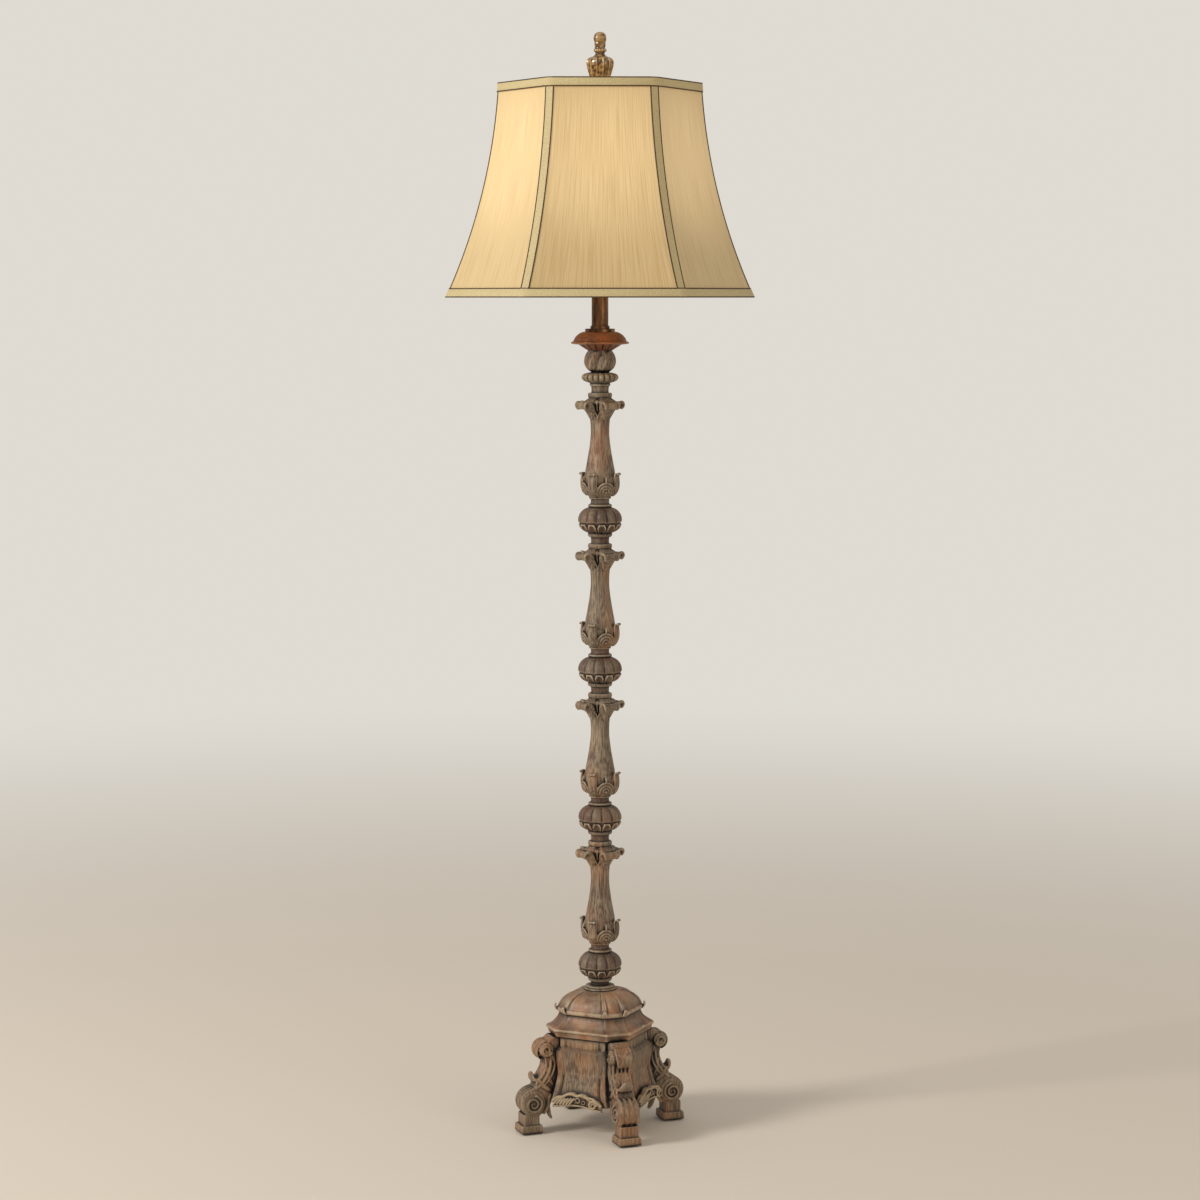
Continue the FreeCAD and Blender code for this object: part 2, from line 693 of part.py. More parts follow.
def scroll_leg():
    """A leg whose back follows the pedestal's corner, with raised spirals on its sides."""
    label = "scroll_leg_1"
    body = new_body(label, 0, LEG_AZIMUTH)
    side = outline_sketch(body, label + "_side", "XZ_Plane", leg_outline())
    padded(body, side, S.leg_width)
    eye_centre = S.foot_reach - S.foot_scroll_radius + S.eye_relief
    eye = circle_sketch(
        body, label + "_eye", "XZ_Plane", S.eye_radius,
        across=eye_centre, up=S.foot_scroll_rise - S.eye_relief * 3,
    )
    padded(body, eye, S.leg_width + S.eye_relief * 2)
    volute = circle_sketch(
        body, label + "_volute", "XZ_Plane", S.volute_radius,
        across=S.volute_reach, up=S.volute_rise,
    )
    padded(body, volute, S.leg_width + S.volute_relief * 2)
    low = S.felt_thickness
    inner = S.foot_reach - S.foot_length
    plinth_points = (
        (inner, low), (S.foot_reach, low),
        (S.foot_reach, low + S.plinth_height), (inner, low + S.plinth_height),
    )
    plinth = outline_sketch(body, label + "_plinth", "XZ_Plane", plinth_points)
    padded(body, plinth, S.foot_width)
    for number, rise in enumerate(screw_rises()):
        name = "%s_pilot_%d" % (label, number + 1)
        pilot = circle_sketch(
            body, name, "YZ_Plane", screw_hole(), offset=die_corner(0), up=rise,
        )
        pocketed(body, pilot, (S.leg_screw_bite + S.running_gap) * 2)
    return body


def leg_screws():
    """Two round-headed screws from inside the pedestal into each leg."""
    screws = []
    seat = die_corner(0) - S.pedestal_wall - S.running_gap
    length = S.pedestal_wall + S.leg_screw_bite
    for corner in range(CORNERS):
        turn = LEG_AZIMUTH + 360 / CORNERS * corner
        across = math.cos(math.radians(turn))
        back = math.sin(math.radians(turn))
        for number, rise in enumerate(screw_rises()):
            name = "leg_screw_%d_%d" % (corner + 1, number + 1)
            start = seat - S.leg_screw_head_height
            spot = {"turn": turn, "up": rise, "tilt_axis": Vector(0, 1, 0), "tilt": 90}
            head = cylinder(
                name + "_head", S.leg_screw_head / 2, S.leg_screw_head_height,
                across=start * across, back=start * back, **spot
            )
            shank = cylinder(
                name + "_shank", S.leg_screw_diameter / 2, length,
                across=seat * across, back=seat * back, **spot
            )
            screw = document.addObject("Part::Fuse", name)
            screw.Base = head
            screw.Tool = shank
            screws.append(screw)
    group("leg_screws", screws)


def base():
    felts = []
    felt_reach = S.foot_reach - S.foot_length / 2
    for number in range(CORNERS):
        angle = math.radians(LEG_AZIMUTH + 360 / CORNERS * number)
        felts.append(cylinder(
            "felt_%d" % (number + 1), S.felt_diameter / 2, S.felt_thickness,
            across=felt_reach * math.cos(angle), back=felt_reach * math.sin(angle),
        ))
    group("foot_felts", felts)
    leg = scroll_leg()
    for number in range(2, CORNERS + 1):
        turn = LEG_AZIMUTH + 360 / CORNERS * (number - 1)
        repeated("scroll_leg_%d" % number, leg, turn=turn)
    pedestal()
    leg_screws()
    plate = new_body("base_plate", S.pedestal_foot)
    side = S.pedestal_wall + S.plate_gap
    lofted(plate, "plate", [
        (0, S.die_foot_half - side, S.die_foot_edge - side),
        (S.plate_thickness, S.die_foot_half - side - 1, S.die_foot_edge - side - 1),
    ])
    for name, radius, back in (
        ("plate_tube_way", tube_hole, 0),
        ("plate_cable_way", S.grommet_diameter / 2 + S.running_gap, S.grommet_reach),
    ):
        hole = circle_sketch(plate, name, "XY_Plane", as_size(radius), up=back)
        pocketed(plate, hole, S.plate_thickness * 3)
    ring("base_weight", tube_hole, S.weight_diameter / 2, S.weight_height, plate_top)
    ring("tie_washer", tube_hole, S.washer_diameter / 2, S.washer_thickness, washer_foot)
    ring("tie_nut", nut_bore, S.nut_diameter / 2, S.nut_height, tie_nut_foot)
    barrel = S.grommet_diameter / 2
    inner = S.cable_bore / 2
    flange = S.grommet_flange / 2
    top = S.grommet_flange_height + S.plate_thickness
    grommet = turned("cable_grommet", [
        (inner, 0), (flange - 1, 0), (flange, S.grommet_flange_height, 0.2),
        (barrel, S.grommet_flange_height), (barrel, top), (inner, top),
    ])
    place(grommet, back=S.grommet_reach, up=S.pedestal_foot - S.grommet_flange_height)


def base_cap():
    """Cornice, hollow moulding, bead and ribbed dome, all on the chamfered square."""
    body = new_body("base_cap", cap_foot)
    lip = S.cornice_height / 3
    fascia = S.cornice_height - lip
    back = lip / 2
    half, edge = S.cornice_half, S.cornice_edge
    lofted(body, "fascia", [
        (0, half - back * 2, edge - back), (fascia, half - back, edge - back / 2),
    ])
    lofted(body, "cornice_lip", [(fascia, half, edge), (S.cornice_height, half, edge)])
    start = half - back
    lofted(body, "hollow", [
        (
            S.cornice_height + S.ogee_height * rise,
            start + (S.ogee_top_half - start) * step,
            edge + (S.ogee_top_edge - edge) * step,
        )
        for rise, step in HOLLOW
    ])
    low = S.cornice_height + S.ogee_height
    half, edge = S.bead_half, S.bead_edge
    back = S.bead_height / 4
    lofted(body, "bead", [
        (low, half - back, edge - back / 2),
        (low + back, half, edge),
        (low + back * 3, half, edge),
        (low + S.bead_height, half - back, edge - back / 2),
    ])
    low = low + S.bead_height
    start, start_edge = half - back, edge - back / 2
    lofted(body, "dome", [
        (
            low + S.dome_height * rise,
            start + (S.dome_top_half - start) * step,
            start_edge + (S.dome_top_edge - start_edge) * step,
        )
        for rise, step in DOME
    ])
    hole = circle_sketch(body, "cap_tube_way", "XY_Plane", tube_hole)
    pocketed(body, hole, (low + S.dome_height) * 3)


# ---------------------------------------------------------------- column


def ring(label, inner, outer, height, up):
    """A plain washer, nut, sleeve or tube."""
    return turned(label, [(inner, 0), (outer, 0), (outer, height), (inner, height)], up)


def knop():
    """The first knop, bored wide enough for a coupling of the tube."""
    bore = S.coupling_diameter / 2 + S.bore_gap
    neck, rim, widest = (
        S.knop_neck_diameter / 2, S.knop_ring_diameter / 2, S.knop_diameter / 2,
    )
    ring_top = S.knop_neck_below + S.knop_ring_below
    upper_ring = knop_widest + S.knop_depth_above
    upper_neck = upper_ring + S.knop_ring_above
    return turned("knop_1", [
        (bore, 0), (neck, 0), (neck, S.knop_neck_below), (rim, S.knop_neck_below),
        (rim, ring_top), (widest, knop_widest, 0.17), (rim, upper_ring, 0.2),
        (rim, upper_neck), (neck, upper_neck), (neck, knop_height), (bore, knop_height),
    ], knop_foot)


def baluster():
    """The first baluster: ring, leaf cup, waisted shaft, leaf capital and ring."""
    body = new_body("baluster_1", knop_foot + knop_height, CUP_LEAF_AZIMUTH)
    foot_ring, belly = S.cup_ring_diameter / 2, S.cup_diameter / 2
    shaft_foot, waist = S.shaft_foot_diameter / 2, S.shaft_waist_diameter / 2
    neck, top_ring = S.capital_foot_diameter / 2, S.capital_ring_diameter / 2
    top = S.baluster_height - S.capital_ring_height
    turned_feature(body, "baluster_1", [
        (tube_hole, 0), (foot_ring, 0), (foot_ring, S.cup_ring_height),
        (belly, S.cup_belly_height, 0.18), (belly, S.cup_height - 4, 0.02),
        (shaft_foot, S.cup_height), (waist, S.shaft_waist_height, -0.023),
        (neck, S.capital_foot_height, -0.037), (neck + 1, top), (top_ring, top),
        (top_ring, S.baluster_height), (tube_hole, S.baluster_height),
    ])
    core = tube_hole + 4
    tip = S.cup_leaf_reach
    cup_leaf = outline_sketch(body, "cup_leaf", "XZ_Plane", [
        (core, S.cup_belly_height - 6), (belly, S.cup_belly_height - 6),
        (tip - 2, S.cup_height - 3, -0.05), (tip, S.cup_height, 0.2),
        (tip - 3, S.cup_height + 2, 0.3), (core, S.cup_height + 2),
    ])
    leaves = padded(body, cup_leaf, S.cup_leaf_width)
    around(body, [leaves], LEAVES).Label = "cup_leaves"
    tip = S.capital_leaf_reach
    swing = CAPITAL_LEAF_AZIMUTH - CUP_LEAF_AZIMUTH
    capital_leaf = outline_sketch(body, "capital_leaf", "XZ_Plane", [
        (core, S.capital_foot_height - 8), (neck - 1, S.capital_foot_height - 8),
        (tip - 4, top - S.capital_leaf_drop - 6, -0.16),
        (tip, top - S.capital_leaf_drop - 2, 0.3), (tip - 5, top - 0.5, 0.25), (core, top),
    ], swing=-swing)
    leaves = padded(body, capital_leaf, S.capital_leaf_width)
    around(body, [leaves], LEAVES).Label = "capital_leaves"
    return body


def column():
    flange, seat = S.flange_diameter / 2, S.knop_neck_diameter / 2 + S.bore_gap
    low = S.flange_height - S.flange_seat
    turned("column_flange", [
        (tube_hole, 0), (flange, 0), (flange, S.flange_height * 0.6),
        (flange - 2, S.flange_height, 0.2), (seat, S.flange_height), (seat, low),
        (tube_hole, low),
    ], column_foot)
    first_knop, first_baluster = knop(), baluster()
    for number in range(2, MODULES + 1):
        up = knop_foot + module_height * (number - 1)
        repeated("knop_%d" % number, first_knop, up=up)
        repeated(
            "baluster_%d" % number, first_baluster, up=up + knop_height, turn=CUP_LEAF_AZIMUTH,
        )
    neck, small_ring = S.upper_neck_diameter / 2, S.upper_ring_diameter / 2
    low = S.upper_neck_height + S.upper_ring_height
    turned("upper_knop", [
        (tube_hole, 0), (neck, 0), (neck, S.upper_neck_height), (small_ring, S.upper_neck_height),
        (small_ring, low), (S.disc_diameter / 2, low + S.disc_height * 0.55, 0.2),
        (neck, upper_height, 0.3), (tube_hole, upper_height),
    ], upper_foot)
    pinch, widest = S.bulb_neck_diameter / 2, S.lobed_bulb_diameter / 2
    crown = S.pan_cup_foot / 2
    turned("lobed_bulb", [
        (tube_hole, 0), (pinch, 0), (widest, S.lobed_bulb_height * 0.5, 0.16),
        (crown, S.lobed_bulb_height, 0.08), (tube_hole, S.lobed_bulb_height),
    ], lobed_foot)
    rim, rim_foot = S.pan_rim_diameter / 2, S.pan_cup_height
    dome_low = rim_foot + S.pan_rim_height
    turned("drip_pan", [
        (tube_hole, 0), (crown, 0), (S.pan_cup_diameter / 2, rim_foot, -0.1),
        (rim - 3, rim_foot), (rim, rim_foot + 1.5), (rim, dome_low - 1.5),
        (S.pan_dome_diameter / 2, dome_low), (S.pan_dome_top / 2, pan_height, 0.15),
        (tube_hole, pan_height),
    ], pan_foot)
    edge = S.check_ring_diameter / 2
    turned("check_ring", [
        (tube_hole, 0), (edge, 0), (edge, S.check_ring_height - 1),
        (edge - 1, S.check_ring_height), (tube_hole, S.check_ring_height),
    ], ring_foot)
    outer, collar = S.neck_tube_diameter / 2, S.neck_collar_diameter / 2
    inner = outer - S.neck_tube_wall
    turned("neck_tube", [
        (inner, 0), (collar, 0), (collar, S.neck_collar_height - 2),
        (outer, S.neck_collar_height, -0.2), (outer, S.neck_tube_height),
        (inner, S.neck_tube_height),
    ], neck_foot)
    edge = S.neck_cap_diameter / 2
    turned("neck_cap", [
        (tube_hole, 0), (edge, 0), (edge, S.neck_cap_height - 1),
        (edge - 1, S.neck_cap_height), (tube_hole, S.neck_cap_height),
    ], neck_cap_foot)


def tubes():
    """Three lengths of tube, and the couplings that join them inside two of the knops."""
    joints = [knop_foot + module_height * number + knop_height / 2 for number in (1, 3)]
    ends = [tie_nut_foot - S.free_gap] + joints + [socket_foot + S.nut_height - 1]
    for number, place_name in enumerate(("lower", "middle", "upper")):
        length = ends[number + 1] - ends[number]
        ring("tube_" + place_name, S.tube_bore / 2, tube_radius, length, ends[number])
    couplings = []
    for number, middle in enumerate(joints):
        name = "coupling_%d" % (number + 1)
        low = middle - S.coupling_length / 2
        coupling = document.addObject("Part::Cut", name)
        coupling.Base = cylinder(name + "_bar", S.coupling_diameter / 2, S.coupling_length, up=low)
        coupling.Tool = cylinder(name + "_bore", nut_bore, S.coupling_length, up=low)
        couplings.append(coupling)
    group("tube_couplings", couplings)


# ---------------------------------------------------------------- socket, bulb and harp


def socket():
    shell_outer = S.socket_diameter / 2
    shell_inner = shell_outer - S.socket_wall
    seat = shell_outer + S.running_gap
    cap_outer = seat + S.socket_wall
    hub, bore = S.socket_hub_diameter / 2, nut_bore
    floor = S.nut_height + S.socket_wall
    shoulder = S.socket_cap_height - S.socket_lap - 1
    turned("socket_cap", [
        (bore, 0), (hub, 0), (hub, S.nut_height - 1), (cap_outer, shoulder, 0.2),
        (cap_outer, S.socket_cap_height), (seat, S.socket_cap_height), (seat, shoulder + 0.5),
        (hub, floor, -0.2), (bore, floor),
    ], socket_foot)
    shell_low = S.socket_cap_height - S.socket_lap
    shell_foot = socket_foot + shell_low
    shell = turned("socket_shell", [
        (shell_inner, 0), (shell_outer, 0), (shell_outer, S.socket_height - 2),
        (shell_outer + 0.6, S.socket_height - 1), (shell_outer, S.socket_height),
        (shell_inner, S.socket_height),
    ], shell_foot)
    liner_outer = shell_inner - S.running_gap
    liner_inner = liner_outer - S.liner_wall
    liner = ring("socket_liner", liner_inner, liner_outer, S.socket_height - 1, shell_foot)
    key_hole = S.key_shaft_diameter / 2 + S.running_gap
    for piece in (shell, liner):
        hole = circle_sketch(piece, piece.Label + "_key_way", "XZ_Plane", key_hole, up=S.key_rise)
        way = pocketed(piece, hole, S.socket_diameter, midplane=False)
        way.Reversed = True
    core, stem = liner_inner - S.running_gap, tube_radius + 1
    core_low = shell_low - floor + 1
    core_height = core_low + S.core_height
    turned("socket_core", [
        (0, 0), (stem, 0), (stem, core_low), (core, core_low + 1), (core, core_height),
        (0, core_height),
    ], socket_foot + floor)
    core_top = socket_foot + floor + core_height
    thread = S.bulb_cap_diameter / 2 + S.running_gap
    ring("screw_shell", thread, thread + S.screw_shell_wall, S.screw_shell_height, core_top)
    tip = S.contact_diameter / 2
    turned("centre_contact", [
        (0, 0), (tip, 0), (tip - 1, S.contact_height), (0, S.contact_height),
    ], core_top)
    bulb(core_top + S.contact_height)
    shaft, grip, inner_end = S.key_shaft_diameter / 2, S.key_diameter / 2, core + S.free_gap
    reach, grip_low = S.key_reach - inner_end, S.key_reach - inner_end - S.key_thickness
    collar, collar_top = shaft * 2, grip_low + S.key_shaft_diameter
    key = turned("switch_key", [
        (0, 0), (shaft, 0), (shaft, grip_low), (collar, grip_low), (collar, collar_top),
        (0, collar_top),
    ])
    corner, middle = grip * 0.6, (grip_low + reach + S.key_flat) / 2
    paddle = outline_sketch(key, "key_paddle", "XZ_Plane", [
        (corner, grip_low + S.key_flat), (grip, middle, 0.15), (corner, reach, 0.15),
        (-corner, reach), (-grip, middle, 0.15), (-corner, grip_low + S.key_flat, 0.15),
    ])
    padded(key, paddle, collar * 2 + S.running_gap)
    place(key, back=-inner_end, up=shell_foot + S.key_rise, tilt_axis=Vector(1, 0, 0), tilt=90)


def bulb(up):
    """Screw cap and pear-shaped glass, both hollow."""
    cap, tip = S.bulb_cap_diameter / 2, S.contact_diameter / 2
    wall = S.screw_shell_wall
    turned("bulb_cap", [
        (0, 0), (tip, 0), (cap, S.contact_height * 2), (cap, S.bulb_cap_height),
        (cap - wall, S.bulb_cap_height), (cap - wall, S.contact_height * 2 + wall),
        (tip, wall * 2), (0, wall * 2),
    ], up)
    neck, globe, wall = S.bulb_neck_width / 2, S.bulb_diameter / 2, S.bulb_wall
    middle = S.bulb_height - globe
    turned("bulb_glass", [
        (cap - wall, 0), (cap, 0), (neck, 8, 0.1), (globe * 0.93, middle - globe * 0.42, -0.08),
        (globe, middle, 0.1), (0, S.bulb_height, QUARTER_ROUND), (0, S.bulb_height - wall),
        (globe - wall, middle, -QUARTER_ROUND), (globe * 0.93 - wall, middle - globe * 0.42, -0.1),
        (neck - wall, 8, 0.08),
    ], up + S.bulb_cap_height)


def harp():
    """Saddle on the tube, bent wire held in it by two sleeves, and the stud for the shade."""
    wire, post = S.harp_wire / 2, S.harp_spread
    saddle = new_body("harp_saddle", saddle_foot)
    end = post + S.harp_wire
    half = S.saddle_width / 2
    strip = outline_sketch(saddle, "saddle_strip", "XY_Plane", [
        (-end, -half + 3), (-end + 3, -half, 0.2), (end - 3, -half), (end, -half + 3, 0.2),
        (end, half - 3), (end - 3, half, 0.2), (-end + 3, half), (-end, half - 3, 0.2),
    ])
    padded(saddle, strip, S.saddle_thickness, midplane=False)
    shoulder, sleeve_foot = wire + S.post_shoulder, S.saddle_post - S.sleeve_drop
    for name, side in (("left", -1), ("right", 1)):
        for part, radius, height in (("foot", shoulder, sleeve_foot), ("tip", wire, S.saddle_post)):
            sketch_name = "post_%s_%s" % (part, name)
            circle = circle_sketch(saddle, sketch_name, "XY_Plane", radius, across=post * side)
            padded(saddle, circle, height, midplane=False)
    hole = circle_sketch(saddle, "saddle_way", "XY_Plane", tube_hole)
    pocketed(saddle, hole, S.saddle_thickness * 3)
    ring("saddle_nut", nut_bore, S.nut_diameter / 2, S.nut_height, saddle_nut_foot)
    foot, spread, belly = (saddle_foot + S.saddle_post).value, post.value, S.harp_belly.value
    top, flat = (harp_top - wire).value, S.harp_top_spread.value
    height = top - foot
    side = [
        Vector(spread, 0, foot), Vector(spread, 0, foot + height * 0.2),
        Vector(belly, 0, foot + height * 0.45), Vector(belly, 0, foot + height * 0.68),
        Vector(flat, 0, top),
    ]
    mirrored = [Vector(-spot.x, 0, spot.z) for spot in reversed(side)]
    bends = (belly * 0.7, belly, belly * 0.9, flat * 0.8)
    path = rounded_path(side + mirrored, bends + tuple(reversed(bends)))
    free_shape("harp_bow", wire_along(path, wire.value))
    for name, side_sign in (("left", -1), ("right", 1)):
        label, up = "harp_sleeve_" + name, saddle_foot + sleeve_foot
        inner, outer = wire + S.running_gap, S.sleeve_diameter / 2
        place(ring(label, inner, outer, S.sleeve_length, up), across=post * side_sign, up=up)
    plate, stud = S.stud_plate_diameter / 2, S.stud_diameter / 2
    stud_top = S.stud_plate_height + S.stud_height
    turned("harp_stud", [
        (0, 0), (plate, 0), (plate, S.stud_plate_height), (stud, S.stud_plate_height),
        (stud, stud_top - 1), (stud - 1, stud_top), (0, stud_top),
    ], harp_top)


# ---------------------------------------------------------------- shade and finial

seam_half = S.seam_width / 2


def apothem(corner):
    """Axis to a panel's face, from the distance of the corner seam's face."""
    return (corner + seam_half * math.tan(PANEL_HALF_ANGLE)) * math.cos(PANEL_HALF_ANGLE)


def bell_bulge(spread):
    """Rise of the bell's curve as a share of its chord, from how much it spreads there."""
    corner_spread = (S.shade_foot_corner - S.shade_top_corner).value
    hollow = S.shade_hollow.value * spread / corner_spread
    return hollow / math.hypot(S.shade_height.value, spread)


def bell_strip(body, name, foot, top, width):
    """A strip of the bell, curved in height and flat across."""
    wall, bulge = S.shade_wall, bell_bulge((foot - top).value)
    sketch = outline_sketch(body, name, "XZ_Plane", [
        (foot - wall, 0, bulge), (foot, 0), (top, S.shade_height, -bulge),
        (top - wall, S.shade_height),
    ])
    return padded(body, sketch, width)


def shade_panel():
    """The first panel, cut square to its two corner seams."""
    body = new_body("shade_panel_1", shade_foot, S.shade_azimuth.value + 180 / PANELS)
    foot, top = apothem(S.shade_foot_corner), apothem(S.shade_top_corner)
    bell_strip(body, "panel_curve", foot, top, foot * 2)
    apex = S.seam_width / (2 * math.sin(PANEL_HALF_ANGLE))
    far = foot * 1.2
    side = (far - apex) * math.tan(PANEL_HALF_ANGLE)
    wide = foot * 1.5
    trim = outline_sketch(body, "panel_trim", "XY_Plane", [
        (apex, 0), (far, side), (far, wide), (0, wide), (0, -wide), (far, -wide), (far, -side),
    ])
    pocketed(body, trim, S.shade_height * 3)
    return body


def bell_corners(panel):
    """Twelve corners of the bell's plan at the height where a panel's face is this far out."""
    half = panel * math.tan(PANEL_HALF_ANGLE) - S.seam_width / (2 * math.cos(PANEL_HALF_ANGLE))
    corners = []
    for number in range(PANELS):
        angle = math.radians(S.shade_azimuth.value) + PANEL_HALF_ANGLE * (2 * number + 1)
        for side in (-half, half):
            across = panel * math.cos(angle) - side * math.sin(angle)
            back = panel * math.sin(angle) + side * math.cos(angle)
            corners.append((across, back))
    return corners


def bell_corner(height):
    """Distance of a corner seam's face from the axis at a height above the shade's foot."""
    rise, spread = S.shade_height.value, (S.shade_foot_corner - S.shade_top_corner).value
    chord, bulge = math.hypot(rise, spread), bell_bulge(spread)
    radius = chord * (1 / (8 * bulge) + bulge / 2)
    outward = Vector(rise, spread, 0) * (1 / chord)
    middle = Vector(S.shade_foot_corner.value - spread / 2, rise / 2, 0)
    centre = middle + outward * (radius - bulge * chord)
    return centre.x - math.sqrt(radius ** 2 - (height - centre.y) ** 2)


def band(label, low, high, up):
    """A band round the bell, between two heights above the shade's foot."""
    body = new_body(label, up)
    skins = (
        ("outside", S.band_thickness.value, False), ("inside", S.running_gap.value, True),
    )
    for name, proud, cut in skins:
        sketches = []
        for number, height in enumerate((low, high)):
            face = apothem(as_size(bell_corner(height.value) + proud))
            sketch_name = "%s_%s_%d" % (label, name, number + 1)
            corners = bell_corners(face)
            sketches.append(outline_sketch(body, sketch_name, "XY_Plane", corners, height - low))
        kind = "PartDesign::SubtractiveLoft" if cut else "PartDesign::AdditiveLoft"
        loft = body.newObject(kind, "%s_%s" % (label, name))
        loft.Profile = sketches[0]
        loft.Sections = sketches[1:]
        loft.Ruled = True
        loft.Refine = False


def frame_inset(height):
    """Face of the corner seams to a ring's centre line, where the ring just clears the fabric."""
    wire = S.frame_wire.value / 2
    lean = math.hypot(1, (bell_corner(height - 1) - bell_corner(height + 1)) / 2)
    panel_inset = S.shade_wall.value + (wire + S.running_gap.value) * lean
    return panel_inset / math.cos(PANEL_HALF_ANGLE)


def shade_frame():
    """Two wire rings inside the bell, joined by a wire rib that runs past them in each corner."""
    wire = S.frame_wire.value / 2
    foot = shade_foot.value
    levels = (S.band_height.value / 2, S.shade_height.value - S.band_height.value / 2)
    wires = []
    for height in levels:
        face = apothem(as_size(bell_corner(height) - frame_inset(height)))
        spots = [Vector(a.value, b.value, foot + height) for a, b in bell_corners(face)]
        middle = (spots[-1] + spots[0]) * 0.5
        path = Part.makePolygon([middle] + spots + [middle])
        wires.append(wire_along(path, wire))
    for number in range(PANELS):
        turn = S.shade_azimuth.value + 360 / PANELS * number
        spots = [
            polar(bell_corner(height) - frame_inset(height) - wire, turn, foot + height)
            for height in (levels[0] - wire, (levels[0] + levels[1]) / 2, levels[1] + wire)
        ]
        rib = Part.Wire([Part.Arc(*spots).toShape()])
        wires.append(wire_along(rib, wire))
    free_shape("shade_frame", wires[0].multiFuse(wires[1:]))


def shade_spider():
    """Washer on the harp's stud, with arms out to alternate corners of the top ring."""
    wire = S.frame_wire.value / 2
    washer, low = S.spider_washer_diameter.value / 2, spider_foot.value
    height = S.shade_height.value - S.band_height.value / 2
    rib_face = frame_inset(height) + wire * 2
    reach = bell_corner(height) - rib_face - S.free_gap.value
    rise = shade_foot.value + height - low - wire
    pieces = []
    for number in range(PANELS // 2):
        turn = S.shade_azimuth.value + 720 / PANELS * number
        start = polar(washer - wire, turn, low + wire)
        arm = polar(reach - washer + wire, turn, rise)
        pieces.append(Part.makeCylinder(wire, arm.Length, start, arm))
    disc = Part.makeCylinder(washer, S.spider_washer_height.value, Vector(0, 0, low))
    hole = S.stud_diameter.value / 2 + S.running_gap.value
    depth = S.spider_washer_height.value
    keep_below = Part.makeCylinder(reach * 2, depth * 4, Vector(0, 0, low - depth * 4))
    bore = Part.makeCylinder(hole, depth * 4, Vector(0, 0, low - depth))
    free_shape("shade_spider", disc.multiFuse(pieces).cut([keep_below, bore]))


def shade():
    panel = shade_panel()
    for number in range(2, PANELS + 1):
        turn = S.shade_azimuth.value + 360 / PANELS * (number - 0.5)
        repeated("shade_panel_%d" % number, panel, up=shade_foot, turn=turn)
    seams = new_body("corner_seams", shade_foot, S.shade_azimuth.value)
    seam = bell_strip(seams, "seam_curve", S.shade_foot_corner, S.shade_top_corner, S.seam_width)
    around(seams, [seam], PANELS)
    band("foot_band", as_size(0), S.band_height, shade_foot)
    band("top_band", S.shade_height - S.band_height, S.shade_height, shade_top - S.band_height)
    shade_frame()
    shade_spider()


def finial():
    stud, insert = S.stud_diameter / 2 + S.running_gap, S.finial_insert_diameter / 2
    ring("finial_insert", stud, insert, S.finial_insert_height, finial_foot)
    seat, depth = insert + S.running_gap, S.finial_insert_depth + S.running_gap
    foot, widest, neck = (
        S.finial_foot_diameter / 2, S.finial_diameter / 2, S.finial_neck_diameter / 2,
    )
    body_top = S.finial_body_height
    ring_low = body_top + 2
    ring_top = ring_low + S.finial_ring_height
    collar_top = ring_top + S.finial_collar_height
    ball = S.finial_ball_diameter / 2
    collar = S.finial_collar_diameter / 2
    stud_way = S.stud_height + S.running_gap
    turned("finial_body", [
        (seat, 0), (foot - 2, 0), (foot, 5, 0.2), (widest * 0.78, body_top * 0.5, -0.05),
        (widest, body_top * 0.83, 0.1), (neck, body_top, 0.25), (neck, ring_low),
        (S.finial_ring_diameter / 2, ring_low + 2), (S.finial_ring_diameter / 2, ring_top, 0.2),
        (collar - 1, ring_top), (collar, (ring_top + collar_top) / 2, 0.2),
        (collar, collar_top, 0.1), (ball, collar_top + ball * 0.43, 0.05),
        (0, collar_top + ball * 1.43, QUARTER_ROUND), (0, stud_way), (stud, stud_way), (stud, depth),
        (seat, depth),
    ], finial_foot + S.finial_insert_height - S.finial_insert_depth)


def export(folder):
    """Check every object, then write each sub-part under its own name."""
    document.recompute()
    for item in document.Objects:
        faults = [state for state in item.State if state in ("Invalid", "Error")]
        if faults:
            raise RuntimeError("%s is %s" % (item.Label, faults[0]))
    os.makedirs(folder, exist_ok=True)
    for node in nodes:
        shape = node.Shape
        if shape.isNull() or not shape.isValid():
            raise RuntimeError("%s has no valid shape" % node.Label)
        shape.exportStep(os.path.join(folder, node.Label + ".step"))
    print("%d sub-parts written" % len(nodes))


base()
base_cap()
column()
tubes()
socket()
harp()
shade()
finial()
export("parts")
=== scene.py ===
"""Looks of the carved candlestick floor lamp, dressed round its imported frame."""
import logging
import math
from dataclasses import dataclass
from enum import Enum
from typing import Callable, Mapping, Sequence, Union

import bmesh
import bpy
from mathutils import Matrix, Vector
from mathutils.kdtree import KDTree


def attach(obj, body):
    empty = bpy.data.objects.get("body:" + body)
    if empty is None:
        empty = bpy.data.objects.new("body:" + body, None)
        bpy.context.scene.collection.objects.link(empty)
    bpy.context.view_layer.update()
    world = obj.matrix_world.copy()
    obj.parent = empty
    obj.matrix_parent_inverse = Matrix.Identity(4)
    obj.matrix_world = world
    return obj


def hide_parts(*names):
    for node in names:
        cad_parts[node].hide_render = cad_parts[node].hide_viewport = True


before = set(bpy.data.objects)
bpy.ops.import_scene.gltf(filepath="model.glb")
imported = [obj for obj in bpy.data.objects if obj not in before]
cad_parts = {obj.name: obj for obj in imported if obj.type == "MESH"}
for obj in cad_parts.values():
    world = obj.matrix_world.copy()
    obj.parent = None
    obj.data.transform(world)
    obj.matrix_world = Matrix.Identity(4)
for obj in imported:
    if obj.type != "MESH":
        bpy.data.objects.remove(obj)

LOG = logging.getLogger("candlestick_lamp")
MM = 0.001
CARVED = "carved_"
Point = tuple[float, float, float]
